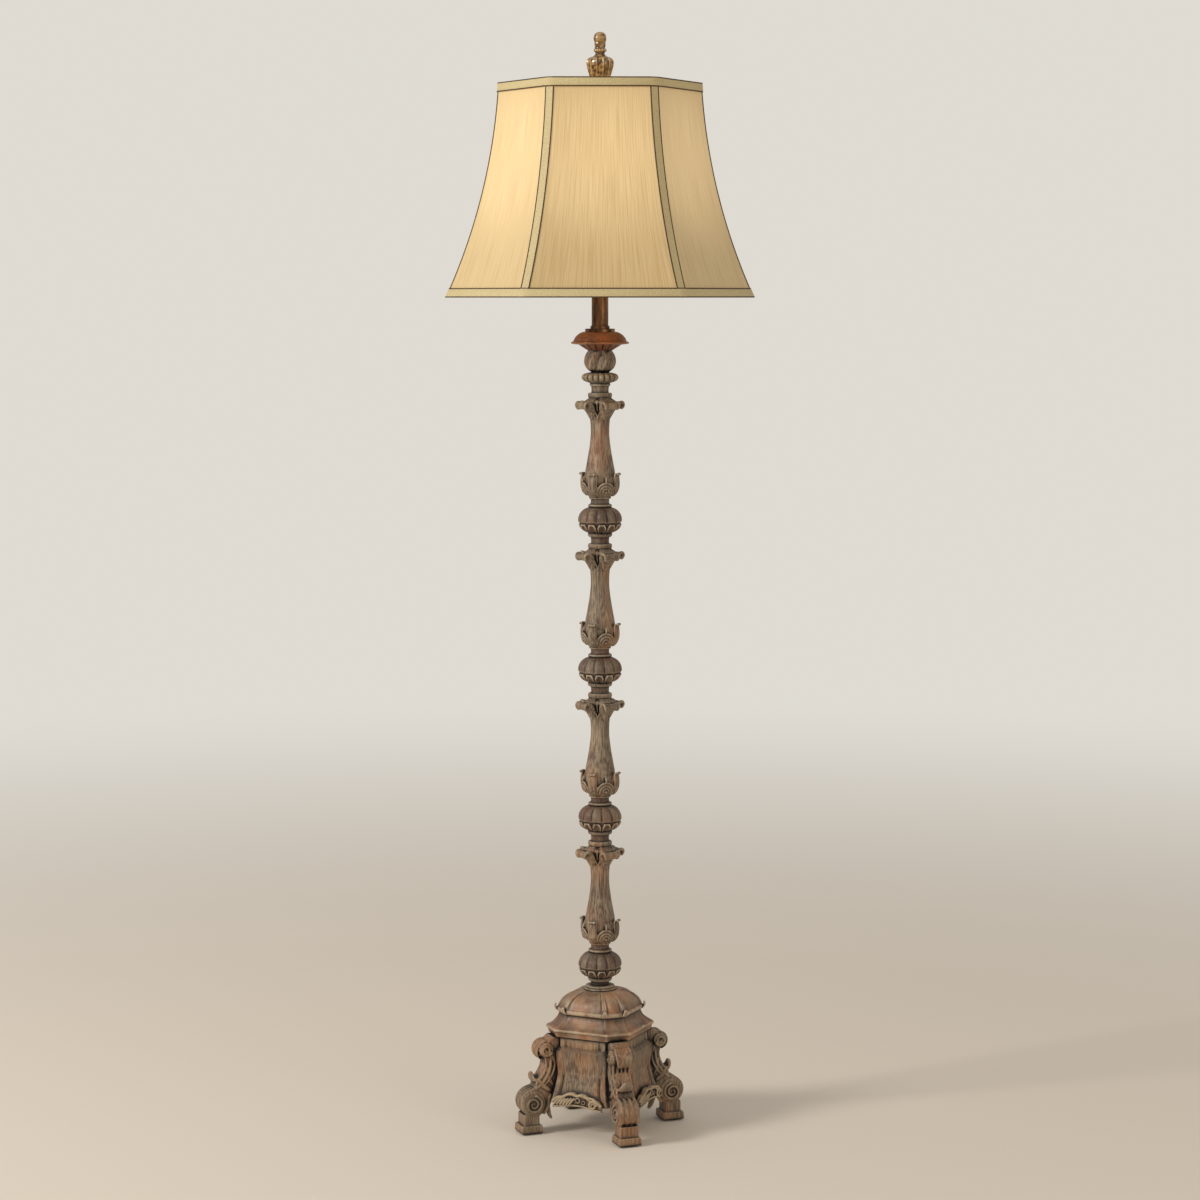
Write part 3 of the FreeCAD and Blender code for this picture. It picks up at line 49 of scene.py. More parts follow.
Test = Callable[[float, float, float], bool]
Value = Union[float, Sequence[float], bpy.types.NodeSocket]
ORIGIN: Point = (0.0, 0.0, 0.0)


class Body(Enum):
    """CAD bodies that pieces ride on."""

    STAND = "stand"
    SHADE = "shade"
    FINIAL = "finial"


class Slot(Enum):
    """Names of material slots for the new pieces; nothing in the script reads them."""

    CARVED = "carved_resin"
    PAN = "pan_resin"
    SILK = "shade_silk"
    BRAID = "shade_braid"
    FINIAL = "finial_resin"


# ------------------------------------------------------------------ bench


def deselect() -> None:
    """Leave edit mode and let go of everything that is selected."""
    if bpy.context.object and bpy.context.object.mode != "OBJECT":
        bpy.ops.object.mode_set(mode="OBJECT")
    bpy.ops.object.select_all(action="DESELECT")


def hold(*pieces: bpy.types.Object) -> bpy.types.Object:
    """Select some pieces and make the first of them active.

    Args:
        pieces: The pieces to select.

    Returns:
        The first piece.
    """
    deselect()
    for piece in pieces:
        piece.select_set(True)
    bpy.context.view_layer.objects.active = pieces[0]
    return pieces[0]


def metres(lengths: Sequence[float]) -> tuple[float, ...]:
    """Turn millimetres into Blender's metres."""
    return tuple(length * MM for length in lengths)


class Blank:
    """A piece in edit mode on the bench, shaped in millimetres."""

    def __init__(self, name: str) -> None:
        """Take the primitive that was just added as the blank.

        Args:
            name: Name of the finished piece.
        """
        self.piece = bpy.context.object
        self.piece.name = name
        self.piece.data.name = name
        bpy.ops.object.mode_set(mode="EDIT")
        bpy.context.tool_settings.mesh_select_mode = (True, False, False)

    @classmethod
    def disc(cls, name: str, sides: int, radius: float, height: float) -> "Blank":
        """Start from a flat disc across the Z axis."""
        deselect()
        bpy.ops.mesh.primitive_circle_add(
            vertices=sides, radius=radius * MM, fill_type="NGON", location=(0, 0, height * MM)
        )
        bpy.ops.object.transform_apply(location=True)
        return cls(name)

    @classmethod
    def loop(cls, name: str, sides: int, radius: float, height: float) -> "Blank":
        """Start from an open ring of points round the Z axis."""
        deselect()
        bpy.ops.mesh.primitive_circle_add(
            vertices=sides, radius=radius * MM, location=(0, 0, height * MM)
        )
        bpy.ops.object.transform_apply(location=True)
        return cls(name)

    @classmethod
    def block(cls, name: str, size: Point, centre: Point) -> "Blank":
        """Start from a block of the given size."""
        deselect()
        bpy.ops.mesh.primitive_cube_add(size=1, location=metres(centre))
        bpy.context.object.scale = metres(size)
        bpy.ops.object.transform_apply(location=True, scale=True)
        return cls(name)

    @classmethod
    def ribbon(cls, name: str, along: int, across: int) -> "Blank":
        """Start from a grid one millimetre a step, rows along X and columns along Y."""
        deselect()
        bpy.ops.mesh.primitive_grid_add(x_subdivisions=along, y_subdivisions=across, size=2)
        bpy.context.object.scale = (along * MM / 2, across * MM / 2, 1)
        bpy.context.object.location = (along * MM / 2, 0, 0)
        bpy.ops.object.transform_apply(location=True, scale=True)
        return cls(name)

    def pick(self, test: Test) -> int:
        """Select the points that pass a test of their place.

        Args:
            test: Called with x, y and z in millimetres.

        Returns:
            How many points are selected.
        """
        mesh = bmesh.from_edit_mesh(self.piece.data)
        count = 0
        for point in mesh.verts:
            point.select = bool(test(*(point.co / MM)))
            count += point.select
        mesh.select_flush_mode()
        bmesh.update_edit_mesh(self.piece.data)
        return count

    def pick_at(self, numbers: Sequence[int]) -> None:
        """Select points by their number in the mesh."""
        wanted = set(numbers)
        mesh = bmesh.from_edit_mesh(self.piece.data)
        for point in mesh.verts:
            point.select = point.index in wanted
        mesh.select_flush_mode()
        bmesh.update_edit_mesh(self.piece.data)

    def pick_all(self) -> None:
        """Select every point."""
        bpy.ops.mesh.select_all(action="SELECT")

    def extrude(self, offset: Point) -> None:
        """Extrude what is selected."""
        bpy.ops.mesh.extrude_region_move(TRANSFORM_OT_translate={"value": metres(offset)})

    def move(self, offset: Point) -> None:
        """Move what is selected."""
        bpy.ops.transform.translate(value=metres(offset))

    def scale(self, factors: Point, centre: Point = ORIGIN, swing: float = 0.0) -> None:
        """Scale what is selected about a centre, along axes swung round Z."""
        cos, sin = math.cos(math.radians(swing)), math.sin(math.radians(swing))
        bpy.ops.transform.resize(
            value=factors,
            orient_type="GLOBAL",
            orient_matrix=((cos, sin, 0), (-sin, cos, 0), (0, 0, 1)),
            orient_matrix_type="GLOBAL",
            center_override=metres(centre),
        )

    def turn(self, degrees: float) -> None:
        """Turn what is selected anticlockwise about the upright axis."""
        bpy.ops.transform.rotate(
            value=-math.radians(degrees), orient_axis="Z", center_override=ORIGIN
        )

    def bevel(self, width: float, segments: int) -> None:
        """Bevel the selected edges."""
        bpy.ops.mesh.bevel(offset=width * MM, segments=segments, affect="EDGES")

    def finish(self) -> bpy.types.Object:
        """Leave edit mode and hand the piece over."""
        bpy.ops.object.mode_set(mode="OBJECT")
        return self.piece


def modify(piece: bpy.types.Object, kind: str, **settings: object) -> bpy.types.Object:
    """Add a modifier to a piece and apply it.

    Args:
        piece: The piece.
        kind: Type of the modifier.
        settings: Its settings.

    Returns:
        The piece.
    """
    hold(piece)
    bpy.ops.object.modifier_add(type=kind)
    modifier = piece.modifiers[-1]
    for name, value in settings.items():
        setattr(modifier, name, value)
    bpy.ops.object.modifier_apply(modifier=modifier.name)
    return piece


def smoothed(piece: bpy.types.Object, levels: int = 2) -> bpy.types.Object:
    """Round a piece with a subdivision surface."""
    return modify(piece, "SUBSURF", levels=levels, render_levels=levels)


def recast(piece: bpy.types.Object, grain: float) -> bpy.types.Object:
    """Melt overlapping forms of a piece into one skin.

    Args:
        piece: The piece.
        grain: Size of a face of the new skin, in millimetres.

    Returns:
        The piece.
    """
    modify(piece, "REMESH", mode="VOXEL", voxel_size=grain * MM)
    return modify(piece, "SMOOTH", factor=0.5, iterations=2)


def shade(piece: bpy.types.Object, angle: float = 40) -> bpy.types.Object:
    """Shade a piece smooth except across edges sharper than an angle."""
    hold(piece)
    bpy.ops.object.shade_smooth_by_angle(angle=math.radians(angle))
    return piece


def outward(piece: bpy.types.Object) -> bpy.types.Object:
    """Make every face of a closed piece point outwards."""
    hold(piece)
    bpy.ops.object.mode_set(mode="EDIT")
    bpy.ops.mesh.select_all(action="SELECT")
    bpy.ops.mesh.normals_make_consistent(inside=False)
    bpy.ops.object.mode_set(mode="OBJECT")
    return piece


def joined(name: str, pieces: Sequence[bpy.types.Object]) -> bpy.types.Object:
    """Join pieces into one and name it."""
    whole = hold(*pieces)
    if len(pieces) > 1:
        bpy.ops.object.join()
    whole.name = name
    whole.data.name = name
    return whole


def copied(
    piece: bpy.types.Object, name: str, turn: float = 0.0, up: float = 0.0
) -> bpy.types.Object:
    """Copy a piece with its own mesh, turned about Z and raised.

    Args:
        piece: The piece to copy.
        name: Name of the copy.
        turn: Degrees about Z.
        up: Millimetres.

    Returns:
        The copy, with its place in its mesh.
    """
    hold(piece)
    bpy.ops.object.duplicate(linked=False)
    copy = bpy.context.object
    copy.name = name
    copy.data.name = name
    placed(copy, turn=turn, up=up)
    return copy


def placed(
    piece: bpy.types.Object, turn: float = 0.0, up: float = 0.0, shift: Point = ORIGIN
) -> bpy.types.Object:
    """Shift a piece, turn it about Z and raise it, and write that into its mesh."""
    hold(piece)
    piece.location = metres(shift)
    bpy.ops.object.transform_apply(location=True, rotation=False, scale=False)
    piece.rotation_euler = (0, 0, math.radians(turn))
    piece.location = (0, 0, up * MM)
    bpy.ops.object.transform_apply(location=True, rotation=True, scale=True)
    return piece


def mirrored(piece: bpy.types.Object, name: str) -> bpy.types.Object:
    """Copy a piece across the XZ plane."""
    copy = copied(piece, name)
    hold(copy)
    copy.scale = (1, -1, 1)
    bpy.ops.object.transform_apply(location=False, rotation=False, scale=True)
    return outward(copy)


def cord_of(
    name: str, points: Sequence[Point], radii: Sequence[float], closed: bool = False,
    smooth: bool = True, sides: int = 2,
) -> bpy.types.Object:
    """Sweep a round strand along a line.

    Args:
        name: Name of the strand.
        points: Its line, in millimetres.
        radii: Radius at each point.
        closed: Whether the line is a loop.
        smooth: Whether the line is rounded between its points.
        sides: Resolution of the round section.

    Returns:
        The strand as a mesh.
    """
    deselect()
    bpy.ops.curve.primitive_nurbs_path_add(location=(0, 0, 0))
    piece = bpy.context.object
    curve = piece.data
    curve.splines.clear()
    spline = curve.splines.new("NURBS" if smooth else "POLY")
    spline.points.add(len(points) - 1)
    for spot, point, radius in zip(spline.points, points, radii):
        spot.co = (*metres(point), 1)
        spot.radius = radius
    if smooth:
        spline.order_u = 3
        spline.use_endpoint_u = not closed
        spline.resolution_u = 3
    spline.use_cyclic_u = closed
    curve.dimensions = "3D"
    curve.bevel_depth = MM
    curve.bevel_resolution = sides
    curve.use_fill_caps = True
    piece.name = name
    hold(piece)
    bpy.ops.object.convert(target="MESH")
    return outward(bpy.context.object)


def sawn(
    name: str, outline: Sequence[tuple[float, float]], width: float, soften: float = 0.0,
) -> bpy.types.Object:
    """Cut a board with a side outline in the XZ plane.

    Args:
        name: Name of the board.
        outline: Its corners (out, up), in order.
        width: Its width across Y.
        soften: How far its long edges are rounded.

    Returns:
        The board.
    """
    blank = Blank.disc(name, len(outline), 1.0, 0.0)
    mesh = bmesh.from_edit_mesh(blank.piece.data)
    homes = [tuple(point.co / MM) for point in mesh.verts]
    for number, (home, (out, up)) in enumerate(zip(homes, outline)):
        blank.pick_at([number])
        blank.move((out - home[0], -width / 2 - home[1], up - home[2]))
    blank.pick_all()
    blank.extrude((0, width, 0))
    if soften:
        blank.pick_all()
        bpy.ops.mesh.normals_make_consistent(inside=False)
        bpy.ops.mesh.select_all(action="DESELECT")
        edges = bmesh.from_edit_mesh(blank.piece.data)
        for edge in edges.edges:
            flat = {round(point.co.y / MM, 2) for point in edge.verts}
            edge.select = len(flat) == 1
        bmesh.update_edit_mesh(blank.piece.data)
        bpy.context.tool_settings.mesh_select_mode = (False, True, False)
        blank.bevel(soften, 2)
        bpy.context.tool_settings.mesh_select_mode = (True, False, False)
    return outward(blank.finish())


class Lathe:
    """Turns a blank ring by ring and carves what repeats round it."""

    def __init__(self, name: str, sides: int, profile: Sequence[tuple[float, float]]) -> None:
        """Turn the blank.

        Args:
            name: Name of the piece.
            sides: Points round each ring.
            profile: Radius and height of each ring, from the foot up, in millimetres.
        """
        self.sides = sides
        self.profile = list(profile)
        radius, height = self.profile[0]
        self.blank = Blank.loop(name, sides, radius, height)
        for wide, high in self.profile[1:]:
            self.blank.extrude((0, 0, high - height))
            if abs(wide - radius) > 1e-6:
                self.blank.scale((wide / radius, wide / radius, 1), (0, 0, high))
            radius, height = wide, high
        self.numbers = self._number_points()

    def _number_points(self) -> dict[tuple[int, int], int]:
        """Find the mesh number of each ring's and column's point."""
        rings = {
            (round(radius, 2), round(height, 2)): ring
            for ring, (radius, height) in enumerate(self.profile)
        }
        numbers = {}
        for point in bmesh.from_edit_mesh(self.blank.piece.data).verts:
            x, y, z = point.co / MM
            ring = rings[(round(math.hypot(x, y), 2), round(z, 2))]
            column = round(math.degrees(math.atan2(y, x)) * self.sides / 360) % self.sides
            numbers[ring, column] = point.index
        return numbers

    def carve(
        self, first: int, last: int, repeats: int, relief: Callable[[float, float], float],
        phase: float = 0.0,
    ) -> None:
        """Push points in or out by a relief that repeats round the piece.

        Args:
            first: First ring of the carving.
            last: Last ring of the carving.
            repeats: How often the relief repeats round the piece.
            relief: Called with the share across one repeat, -0.5 to 0.5, and the share up
                the carving, 0 to 1; returns millimetres outwards.
            phase: Degrees by which the carving is turned.
        """
        for ring in range(first, last + 1):
            radius, height = self.profile[ring]
            rise = (ring - first) / max(last - first, 1)
            columns: dict[float, list[int]] = {}
            for column in range(self.sides):
                share = (column / self.sides - phase / 360) * repeats
                share -= round(share)
                push = round(relief(share, rise), 2)
                if abs(push) > 0.01:
                    columns.setdefault(push, []).append(self.numbers[ring, column])
            for push, numbers in columns.items():
                self.blank.pick_at(numbers)
                grow = (radius + push) / radius
                self.blank.scale((grow, grow, 1), (0, 0, height))

    def twist(self, first: int, last: int, degrees: float) -> None:
        """Turn each ring further than the one below it."""
        for ring in range(first, len(self.profile)):
            share = min((ring - first) / (last - first), 1)
            self.blank.pick_at([self.numbers[ring, column] for column in range(self.sides)])
            self.blank.turn(degrees * share)

    def finish(self, levels: int = 2, angle: float = 40) -> bpy.types.Object:
        """Round the turned piece and hand it over."""
        piece = self.blank.finish()
        if levels:
            smoothed(piece, levels)
        hold(piece)
        bpy.ops.object.mode_set(mode="EDIT")
        bpy.ops.mesh.select_all(action="SELECT")
        bpy.ops.mesh.fill_holes(sides=0)
        bpy.ops.object.mode_set(mode="OBJECT")
        return shade(outward(piece), angle)


@dataclass(frozen=True)
class Station:
    """One row of a leaf: how far out and up it lies, its half width, and its crown."""

    out: float
    up: float
    half: float
    crown: float = 0.0


def leaf(
    name: str, stations: Sequence[Station], thickness: float, ribs: int = 2,
    rib_depth: float = 0.8,
) -> bpy.types.Object:
    """Shape a carved leaf that runs in the XZ plane.

    Args:
        name: Name of the leaf.
        stations: Its rows from root to tip.
        thickness: Thickness of the leaf.
        ribs: Flutes on each side of the midrib.
        rib_depth: Depth of a flute.

    Returns:
        The leaf, its place in its mesh.
    """
    half = ribs * 2
    along = len(stations) - 1
    blank = Blank.ribbon(name, along, half * 2)
    for row, station in enumerate(stations):
        before, after = stations[max(row - 1, 0)], stations[min(row + 1, along)]
        run = Vector((after.out - before.out, 0, after.up - before.up)).normalized()
        normal = (run.z, 0, -run.x)
        home = float(row)
        blank.pick(lambda x, y, z: abs(x - home) < 0.01 and abs(z) < 0.01 and abs(y) <= half)
        numbers = [p.index for p in bmesh.from_edit_mesh(blank.piece.data).verts if p.select]
        mesh = bmesh.from_edit_mesh(blank.piece.data)
        mesh.verts.ensure_lookup_table()
        lanes: dict[int, list[int]] = {}
        for number in numbers:
            lanes.setdefault(round(abs(mesh.verts[number].co.y / MM)), []).append(number)
        for lane, members in lanes.items():
            share = lane / half
            flute = rib_depth if lane % 2 else 0.0
            lift = station.crown * (1 - share ** 2) - flute
            blank.pick_at(members)
            blank.scale((1, station.half / half, 1))
            blank.move((
                station.out - home + normal[0] * lift, 0, station.up + 100 + normal[2] * lift
            ))
    blank.pick_all()
    blank.move((0, 0, -100))
    piece = blank.finish()
    modify(piece, "SOLIDIFY", thickness=thickness * MM, offset=0.0)
    outward(piece)
    return smoothed(piece, 1)


def dressed(
    piece: bpy.types.Object, body: Body, finish: bpy.types.Material,
) -> bpy.types.Object:
    """Give a piece its material, its body and the CAD node that it stands for.

    A piece whose name is a node's behind the word for carved stands for that node.

    Args:
        piece: The piece.
        body: The CAD body that it rides on.
        finish: Its material.

    Returns:
        The piece.
    """
    piece.data.materials.clear()
    piece.data.materials.append(finish)
    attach(piece, body.value)
    if piece.name.startswith(CARVED):
        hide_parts(piece.name.removeprefix(CARVED))
    LOG.info("%s: %d faces", piece.name, len(piece.data.polygons))
    return piece


# --------------------------------------------------------------- finishes


class Wiring:
    """Adds and links the nodes of one tree."""

    def __init__(self, tree: bpy.types.NodeTree) -> None:
        """Take the tree that nodes are added to."""
        self.tree = tree

    def add(
        self, kind: str, sockets: Mapping[Union[int, str], Value], **settings: object
    ) -> bpy.types.Node:
        """Add a node.

        Args:
            kind: Type of the node.
            sockets: What each input is set or linked to.
            settings: Properties of the node.

        Returns:
            The node.
        """
        node = self.tree.nodes.new(kind)
        for name, value in settings.items():
            setattr(node, name, value)
        for key, value in sockets.items():
            if isinstance(value, bpy.types.NodeSocket):
                self.tree.links.new(value, node.inputs[key])
            else:
                node.inputs[key].default_value = value
        return node

    def blend(self, share: Value, first: Value, second: Value) -> bpy.types.NodeSocket:
        """Blend two colours."""
        mixer = self.add("ShaderNodeMix", {0: share, 6: first, 7: second}, data_type="RGBA")
        return mixer.outputs[2]

    def math(self, operation: str, first: Value, second: Value = 0.0) -> bpy.types.NodeSocket:
        """Do a sum on two values, kept between 0 and 1."""
        node = self.add(
            "ShaderNodeMath", {0: first, 1: second}, operation=operation, use_clamp=True
        )
        return node.outputs[0]

    def spread(
        self, value: Value, low: float, high: float, start: float = 0.0, end: float = 1.0
    ) -> bpy.types.NodeSocket:
        """Stretch a value from one range to another, with soft ends."""
        node = self.add(
            "ShaderNodeMapRange",
            {"Value": value, "From Min": low, "From Max": high, "To Min": start, "To Max": end},
            interpolation_type="SMOOTHSTEP",
        )
        return node.outputs[0]

    def place(self, scale: Point, pattern: str = "Object") -> bpy.types.NodeSocket:
        """Coordinates of the piece, stretched by a scale."""
        coordinates = self.add("ShaderNodeTexCoord", {})
        mapping = self.add(
            "ShaderNodeMapping", {"Vector": coordinates.outputs[pattern], "Scale": scale}
        )
        return mapping.outputs[0]

    def noise(
        self, vector: Value, scale: float, detail: float = 3.0, roughness: float = 0.5
    ) -> bpy.types.NodeSocket:
        """A noise value."""
        node = self.add(
            "ShaderNodeTexNoise",
            {"Vector": vector, "Scale": scale, "Detail": detail, "Roughness": roughness},
        )
        return node.outputs[0]

    def bump(self, height: Value, strength: float, distance: float) -> bpy.types.NodeSocket:
        """A normal from a height."""
        node = self.add(
            "ShaderNodeBump",
            {"Strength": strength, "Distance": distance * MM, "Height": height},
        )
        return node.outputs[0]


def effect(
    name: str, inputs: Mapping[str, float], outputs: Sequence[str],
    build: Callable[[Wiring, bpy.types.Node], Sequence[bpy.types.NodeSocket]],
) -> bpy.types.NodeTree:
    """Build a node group that several finishes share.

    Args:
        name: Name of the group.
        inputs: Its inputs and what they are set to.
        outputs: Names of its outputs.
        build: Adds the nodes and returns what feeds each output.

    Returns:
        The group.
    """
    tree = bpy.data.node_groups.new(name, "ShaderNodeTree")
    for label, value in inputs.items():
        socket = tree.interface.new_socket(
            name=label, in_out="INPUT", socket_type="NodeSocketFloat"
        )
        socket.default_value = value
    for label in outputs:
        tree.interface.new_socket(name=label, in_out="OUTPUT", socket_type="NodeSocketFloat")
    wiring = Wiring(tree)
    entry = wiring.add("NodeGroupInput", {})
    wiring.add("NodeGroupOutput", dict(enumerate(build(wiring, entry))))
    return tree


def build_relief(wiring: Wiring, entry: bpy.types.Node) -> list[bpy.types.NodeSocket]:
    """Masks of painted shade in the hollows of a carving, and of its raised edges, whose pale wash
    is partly a painted highlight.
    """
    # Ambient occlusion darkens the hollows: painted shade.
    shadow = wiring.add(
        "ShaderNodeAmbientOcclusion", {"Distance": entry.outputs["Reach"]}, samples=8
    )
    occlusion_shade = wiring.math("SUBTRACT", 1.0, shadow.outputs["AO"])
    ragged = wiring.noise(wiring.place((1, 1, 1)), 260.0, 3.0)
    hollow = wiring.spread(
        wiring.math("ADD", occlusion_shade, wiring.math("MULTIPLY", ragged, 0.12)), 0.12, 0.42
    )
    # Pointiness: convex edges go towards the pale wash, partly a painted highlight; concave creases
    # add painted shade.
    edge = wiring.add("ShaderNodeNewGeometry", {}).outputs["Pointiness"]
    ridge = wiring.spread(edge, 0.505, 0.57)
    crease_shade = wiring.spread(edge, 0.495, 0.455)
    hollow = wiring.math("ADD", hollow, wiring.math("MULTIPLY", crease_shade, 0.9))
    highlight_wear_patches = wiring.spread(wiring.noise(wiring.place((1, 1, 0.4)), 120.0, 4.0), 0.3, 0.6)
    ridge = wiring.math("MULTIPLY", ridge, wiring.math("ADD", highlight_wear_patches, 0.3))
    return [hollow, ridge]


def build_grain(wiring: Wiring, entry: bpy.types.Node) -> list[bpy.types.NodeSocket]:
    """Masks of the brushed streaks that run up a piece, and of its large patches."""
    coordinates = wiring.add("ShaderNodeTexCoord", {}).outputs["Object"]
    scale = wiring.add(
        "ShaderNodeCombineXYZ",
        {0: entry.outputs["Fineness"], 1: entry.outputs["Fineness"], 2: entry.outputs["Length"]},
    )
    stretched = wiring.add(
        "ShaderNodeVectorMath", {0: coordinates, 1: scale.outputs[0]}, operation="MULTIPLY"
    )
    streak = wiring.spread(wiring.noise(stretched.outputs[0], 1.0, 4.0, 0.6), 0.36, 0.66)
    fine = wiring.noise(stretched.outputs[0], 3.1, 3.0, 0.6)
    patch = wiring.spread(wiring.noise(wiring.place((1, 1, 0.45)), 26.0, 3.0), 0.44, 0.62)
    cloud = wiring.spread(wiring.noise(wiring.place((1, 1, 0.6)), 43.0, 4.0), 0.40, 0.68)
    return [streak, fine, patch, cloud]


def build_weave(wiring: Wiring, entry: bpy.types.Node) -> list[bpy.types.NodeSocket]:
    """Threads and slubs of a woven cloth that follow the piece's own UV map."""
    grid = wiring.add("ShaderNodeTexCoord", {}).outputs["UV"]

    def threads(across: str, along: float, scale: float) -> bpy.types.NodeSocket:
        count = wiring.add(
            "ShaderNodeCombineXYZ", {0: along, 1: entry.outputs[across], 2: 1.0}
        )
        laid = wiring.add(
            "ShaderNodeVectorMath", {0: grid, 1: count.outputs[0]}, operation="MULTIPLY"
        )
        return wiring.noise(laid.outputs[0], scale, 2.0, 0.6)

    slub = wiring.spread(threads("Threads", 9.0, 0.36), 0.35, 0.70)
    warp = threads("Threads", 14.0, 1.6)
    count = wiring.add("ShaderNodeCombineXYZ", {0: entry.outputs["Picks"], 1: 12.0, 2: 1.0})
    crossed = wiring.add(
        "ShaderNodeVectorMath", {0: grid, 1: count.outputs[0]}, operation="MULTIPLY"
    )
    weft = wiring.noise(crossed.outputs[0], 1.2, 2.0, 0.6)
    return [slub, wiring.math("ADD", wiring.math("MULTIPLY", warp, 0.6),
                              wiring.math("MULTIPLY", weft, 0.4))]


def build_glow(wiring: Wiring, entry: bpy.types.Node) -> list[bpy.types.NodeSocket]:
    """How strongly the lamp's bulb lights a place, from its distance."""
    coordinates = wiring.add("ShaderNodeTexCoord", {}).outputs["Object"]
    bulb = wiring.add("ShaderNodeCombineXYZ", {0: 0.0, 1: 0.0, 2: entry.outputs["Rise"]})
    reach = wiring.add(
        "ShaderNodeVectorMath", {0: coordinates, 1: bulb.outputs[0]}, operation="DISTANCE"
    )
    return [wiring.spread(reach.outputs["Value"], 0.235, 0.118)]


@dataclass(frozen=True)
class Effects:
    """Node groups that the finishes share."""

    relief: bpy.types.NodeTree
    grain: bpy.types.NodeTree
    weave: bpy.types.NodeTree
    glow: bpy.types.NodeTree

    @classmethod
    def built(cls) -> "Effects":
        """Build the groups once."""
        return cls(
            effect("carved_relief", {"Reach": 0.006}, ("Hollow", "Ridge"), build_relief),
            effect(
                "brushed_grain", {"Fineness": 330.0, "Length": 24.0},
                ("Streak", "Fine", "Patch", "Cloud"), build_grain,
            ),
            effect(
                "silk_weave", {"Threads": 300.0, "Picks": 520.0}, ("Slub", "Thread"), build_weave
            ),
            effect("bulb_glow", {"Rise": 1.444}, ("Glow",), build_glow),
        )


Colour = tuple[float, float, float, float]


def colour(code: int) -> Colour:
    """Linear colour from a screen colour written as a hexadecimal number."""
    shares = [(code >> shift & 255) / 255 for shift in (16, 8, 0)]
    linear = [
        share / 12.92 if share <= 0.04045 else ((share + 0.055) / 1.055) ** 2.4
        for share in shares
    ]
    return (*linear, 1.0)


class Finish:
    """A material under way: its tree, its shader and its wiring."""

    def __init__(self, name: str) -> None:
        """Make the material and find its shader."""
        self.material = bpy.data.materials.new(name)
        self.material.use_nodes = True
        self.wiring = Wiring(self.material.node_tree)
        self.shader = self.material.node_tree.nodes["Principled BSDF"]

    def set(self, **values: Value) -> "Finish":
        """Set or link the shader's inputs, named with low lines for spaces."""
        for key, value in values.items():
            socket = self.shader.inputs[key.replace("_", " ").title().replace("Ior", "IOR")]
            if isinstance(value, bpy.types.NodeSocket):
                self.wiring.tree.links.new(value, socket)
            else:
                socket.default_value = value
        return self

    def group(self, tree: bpy.types.NodeTree, **values: float) -> bpy.types.Node:
        """Place a shared group with its own values."""
        node = self.wiring.add("ShaderNodeGroup", {}, node_tree=tree)
        for key, value in values.items():
            node.inputs[key.title()].default_value = value
        return node


@dataclass(frozen=True)
class CarvedFinish:
    """Cast resin stained brown and orange, with a pale wash on its raised edges that is partly a
    painted highlight, and painted shade in its hollows.
    """

    name: str
    ground: int = 0x4E382B
    warm: int = 0x7E4E2C
    wash: int = 0xC9BA9E
    # Near-black colour of the painted shade in the hollows.
    hollow: int = 0x130B07
    warmth: float = 0.8
    wash_and_highlight: float = 0.75
    streaks: float = 0.5
    fineness: float = 480.0
    length: float = 34.0
    reach: float = 0.006
    rough: float = 0.5

    def build(self, effects: Effects) -> bpy.types.Material:
        """Build the material."""
        finish = Finish(self.name)
        wires = finish.wiring
        relief = finish.group(effects.relief, reach=self.reach)
        grain = finish.group(effects.grain, fineness=self.fineness, length=self.length)
        warm = wires.math("MULTIPLY", grain.outputs["Patch"], self.warmth)
        base = wires.blend(warm, colour(self.ground), colour(self.warm))
        streak = wires.math("MULTIPLY", grain.outputs["Streak"], self.streaks)
        base = wires.blend(streak, base, colour(self.wash))
        # Raised edges and random clouds go towards the pale wash; on the edges this is partly a
        # painted highlight.
        pale = wires.math("MULTIPLY", relief.outputs["Ridge"], self.wash_and_highlight)
        cloudy = wires.math("MULTIPLY", grain.outputs["Cloud"], self.wash_and_highlight * 0.2)
        base = wires.blend(wires.math("ADD", pale, cloudy), base, colour(self.wash))
        # The hollows go towards near black: painted shade.
        base = wires.blend(relief.outputs["Hollow"], base, colour(self.hollow))
        rough = wires.spread(grain.outputs["Fine"], 0.2, 0.8, self.rough - 0.12, self.rough + 0.2)
        finish.set(
            base_color=base, roughness=rough, coat_weight=0.12, coat_roughness=0.35,
            normal=wires.bump(grain.outputs["Fine"], 0.8, 0.8),
        )
        return finish.material


@dataclass(frozen=True)
class SilkFinish:
    """Shantung silk over a translucent backing, lit from inside."""

    name: str
    cloth: int
    slub: int
    glow: int
    strength: float = 0.3
    threads: float = 300.0
    picks: float = 520.0

    def build(self, effects: Effects) -> bpy.types.Material:
        """Build the material."""
        finish = Finish(self.name)
        wires = finish.wiring
        weave = finish.group(effects.weave, threads=self.threads, picks=self.picks)
        base = wires.blend(weave.outputs["Slub"], colour(self.cloth), colour(self.slub))
        shine = finish.group(effects.glow)
        lit = wires.blend(shine.outputs["Glow"], colour(0x000000), colour(self.glow))
        woven = wires.blend(
            wires.math("MULTIPLY", weave.outputs["Slub"], 0.2), lit, colour(0x000000)
        )
        finish.set(
            base_color=base, roughness=0.55, sheen_weight=0.25, sheen_roughness=0.35,
            emission_color=woven, emission_strength=self.strength,
            normal=wires.bump(weave.outputs["Thread"], 0.35, 0.35),
        )
        return finish.material


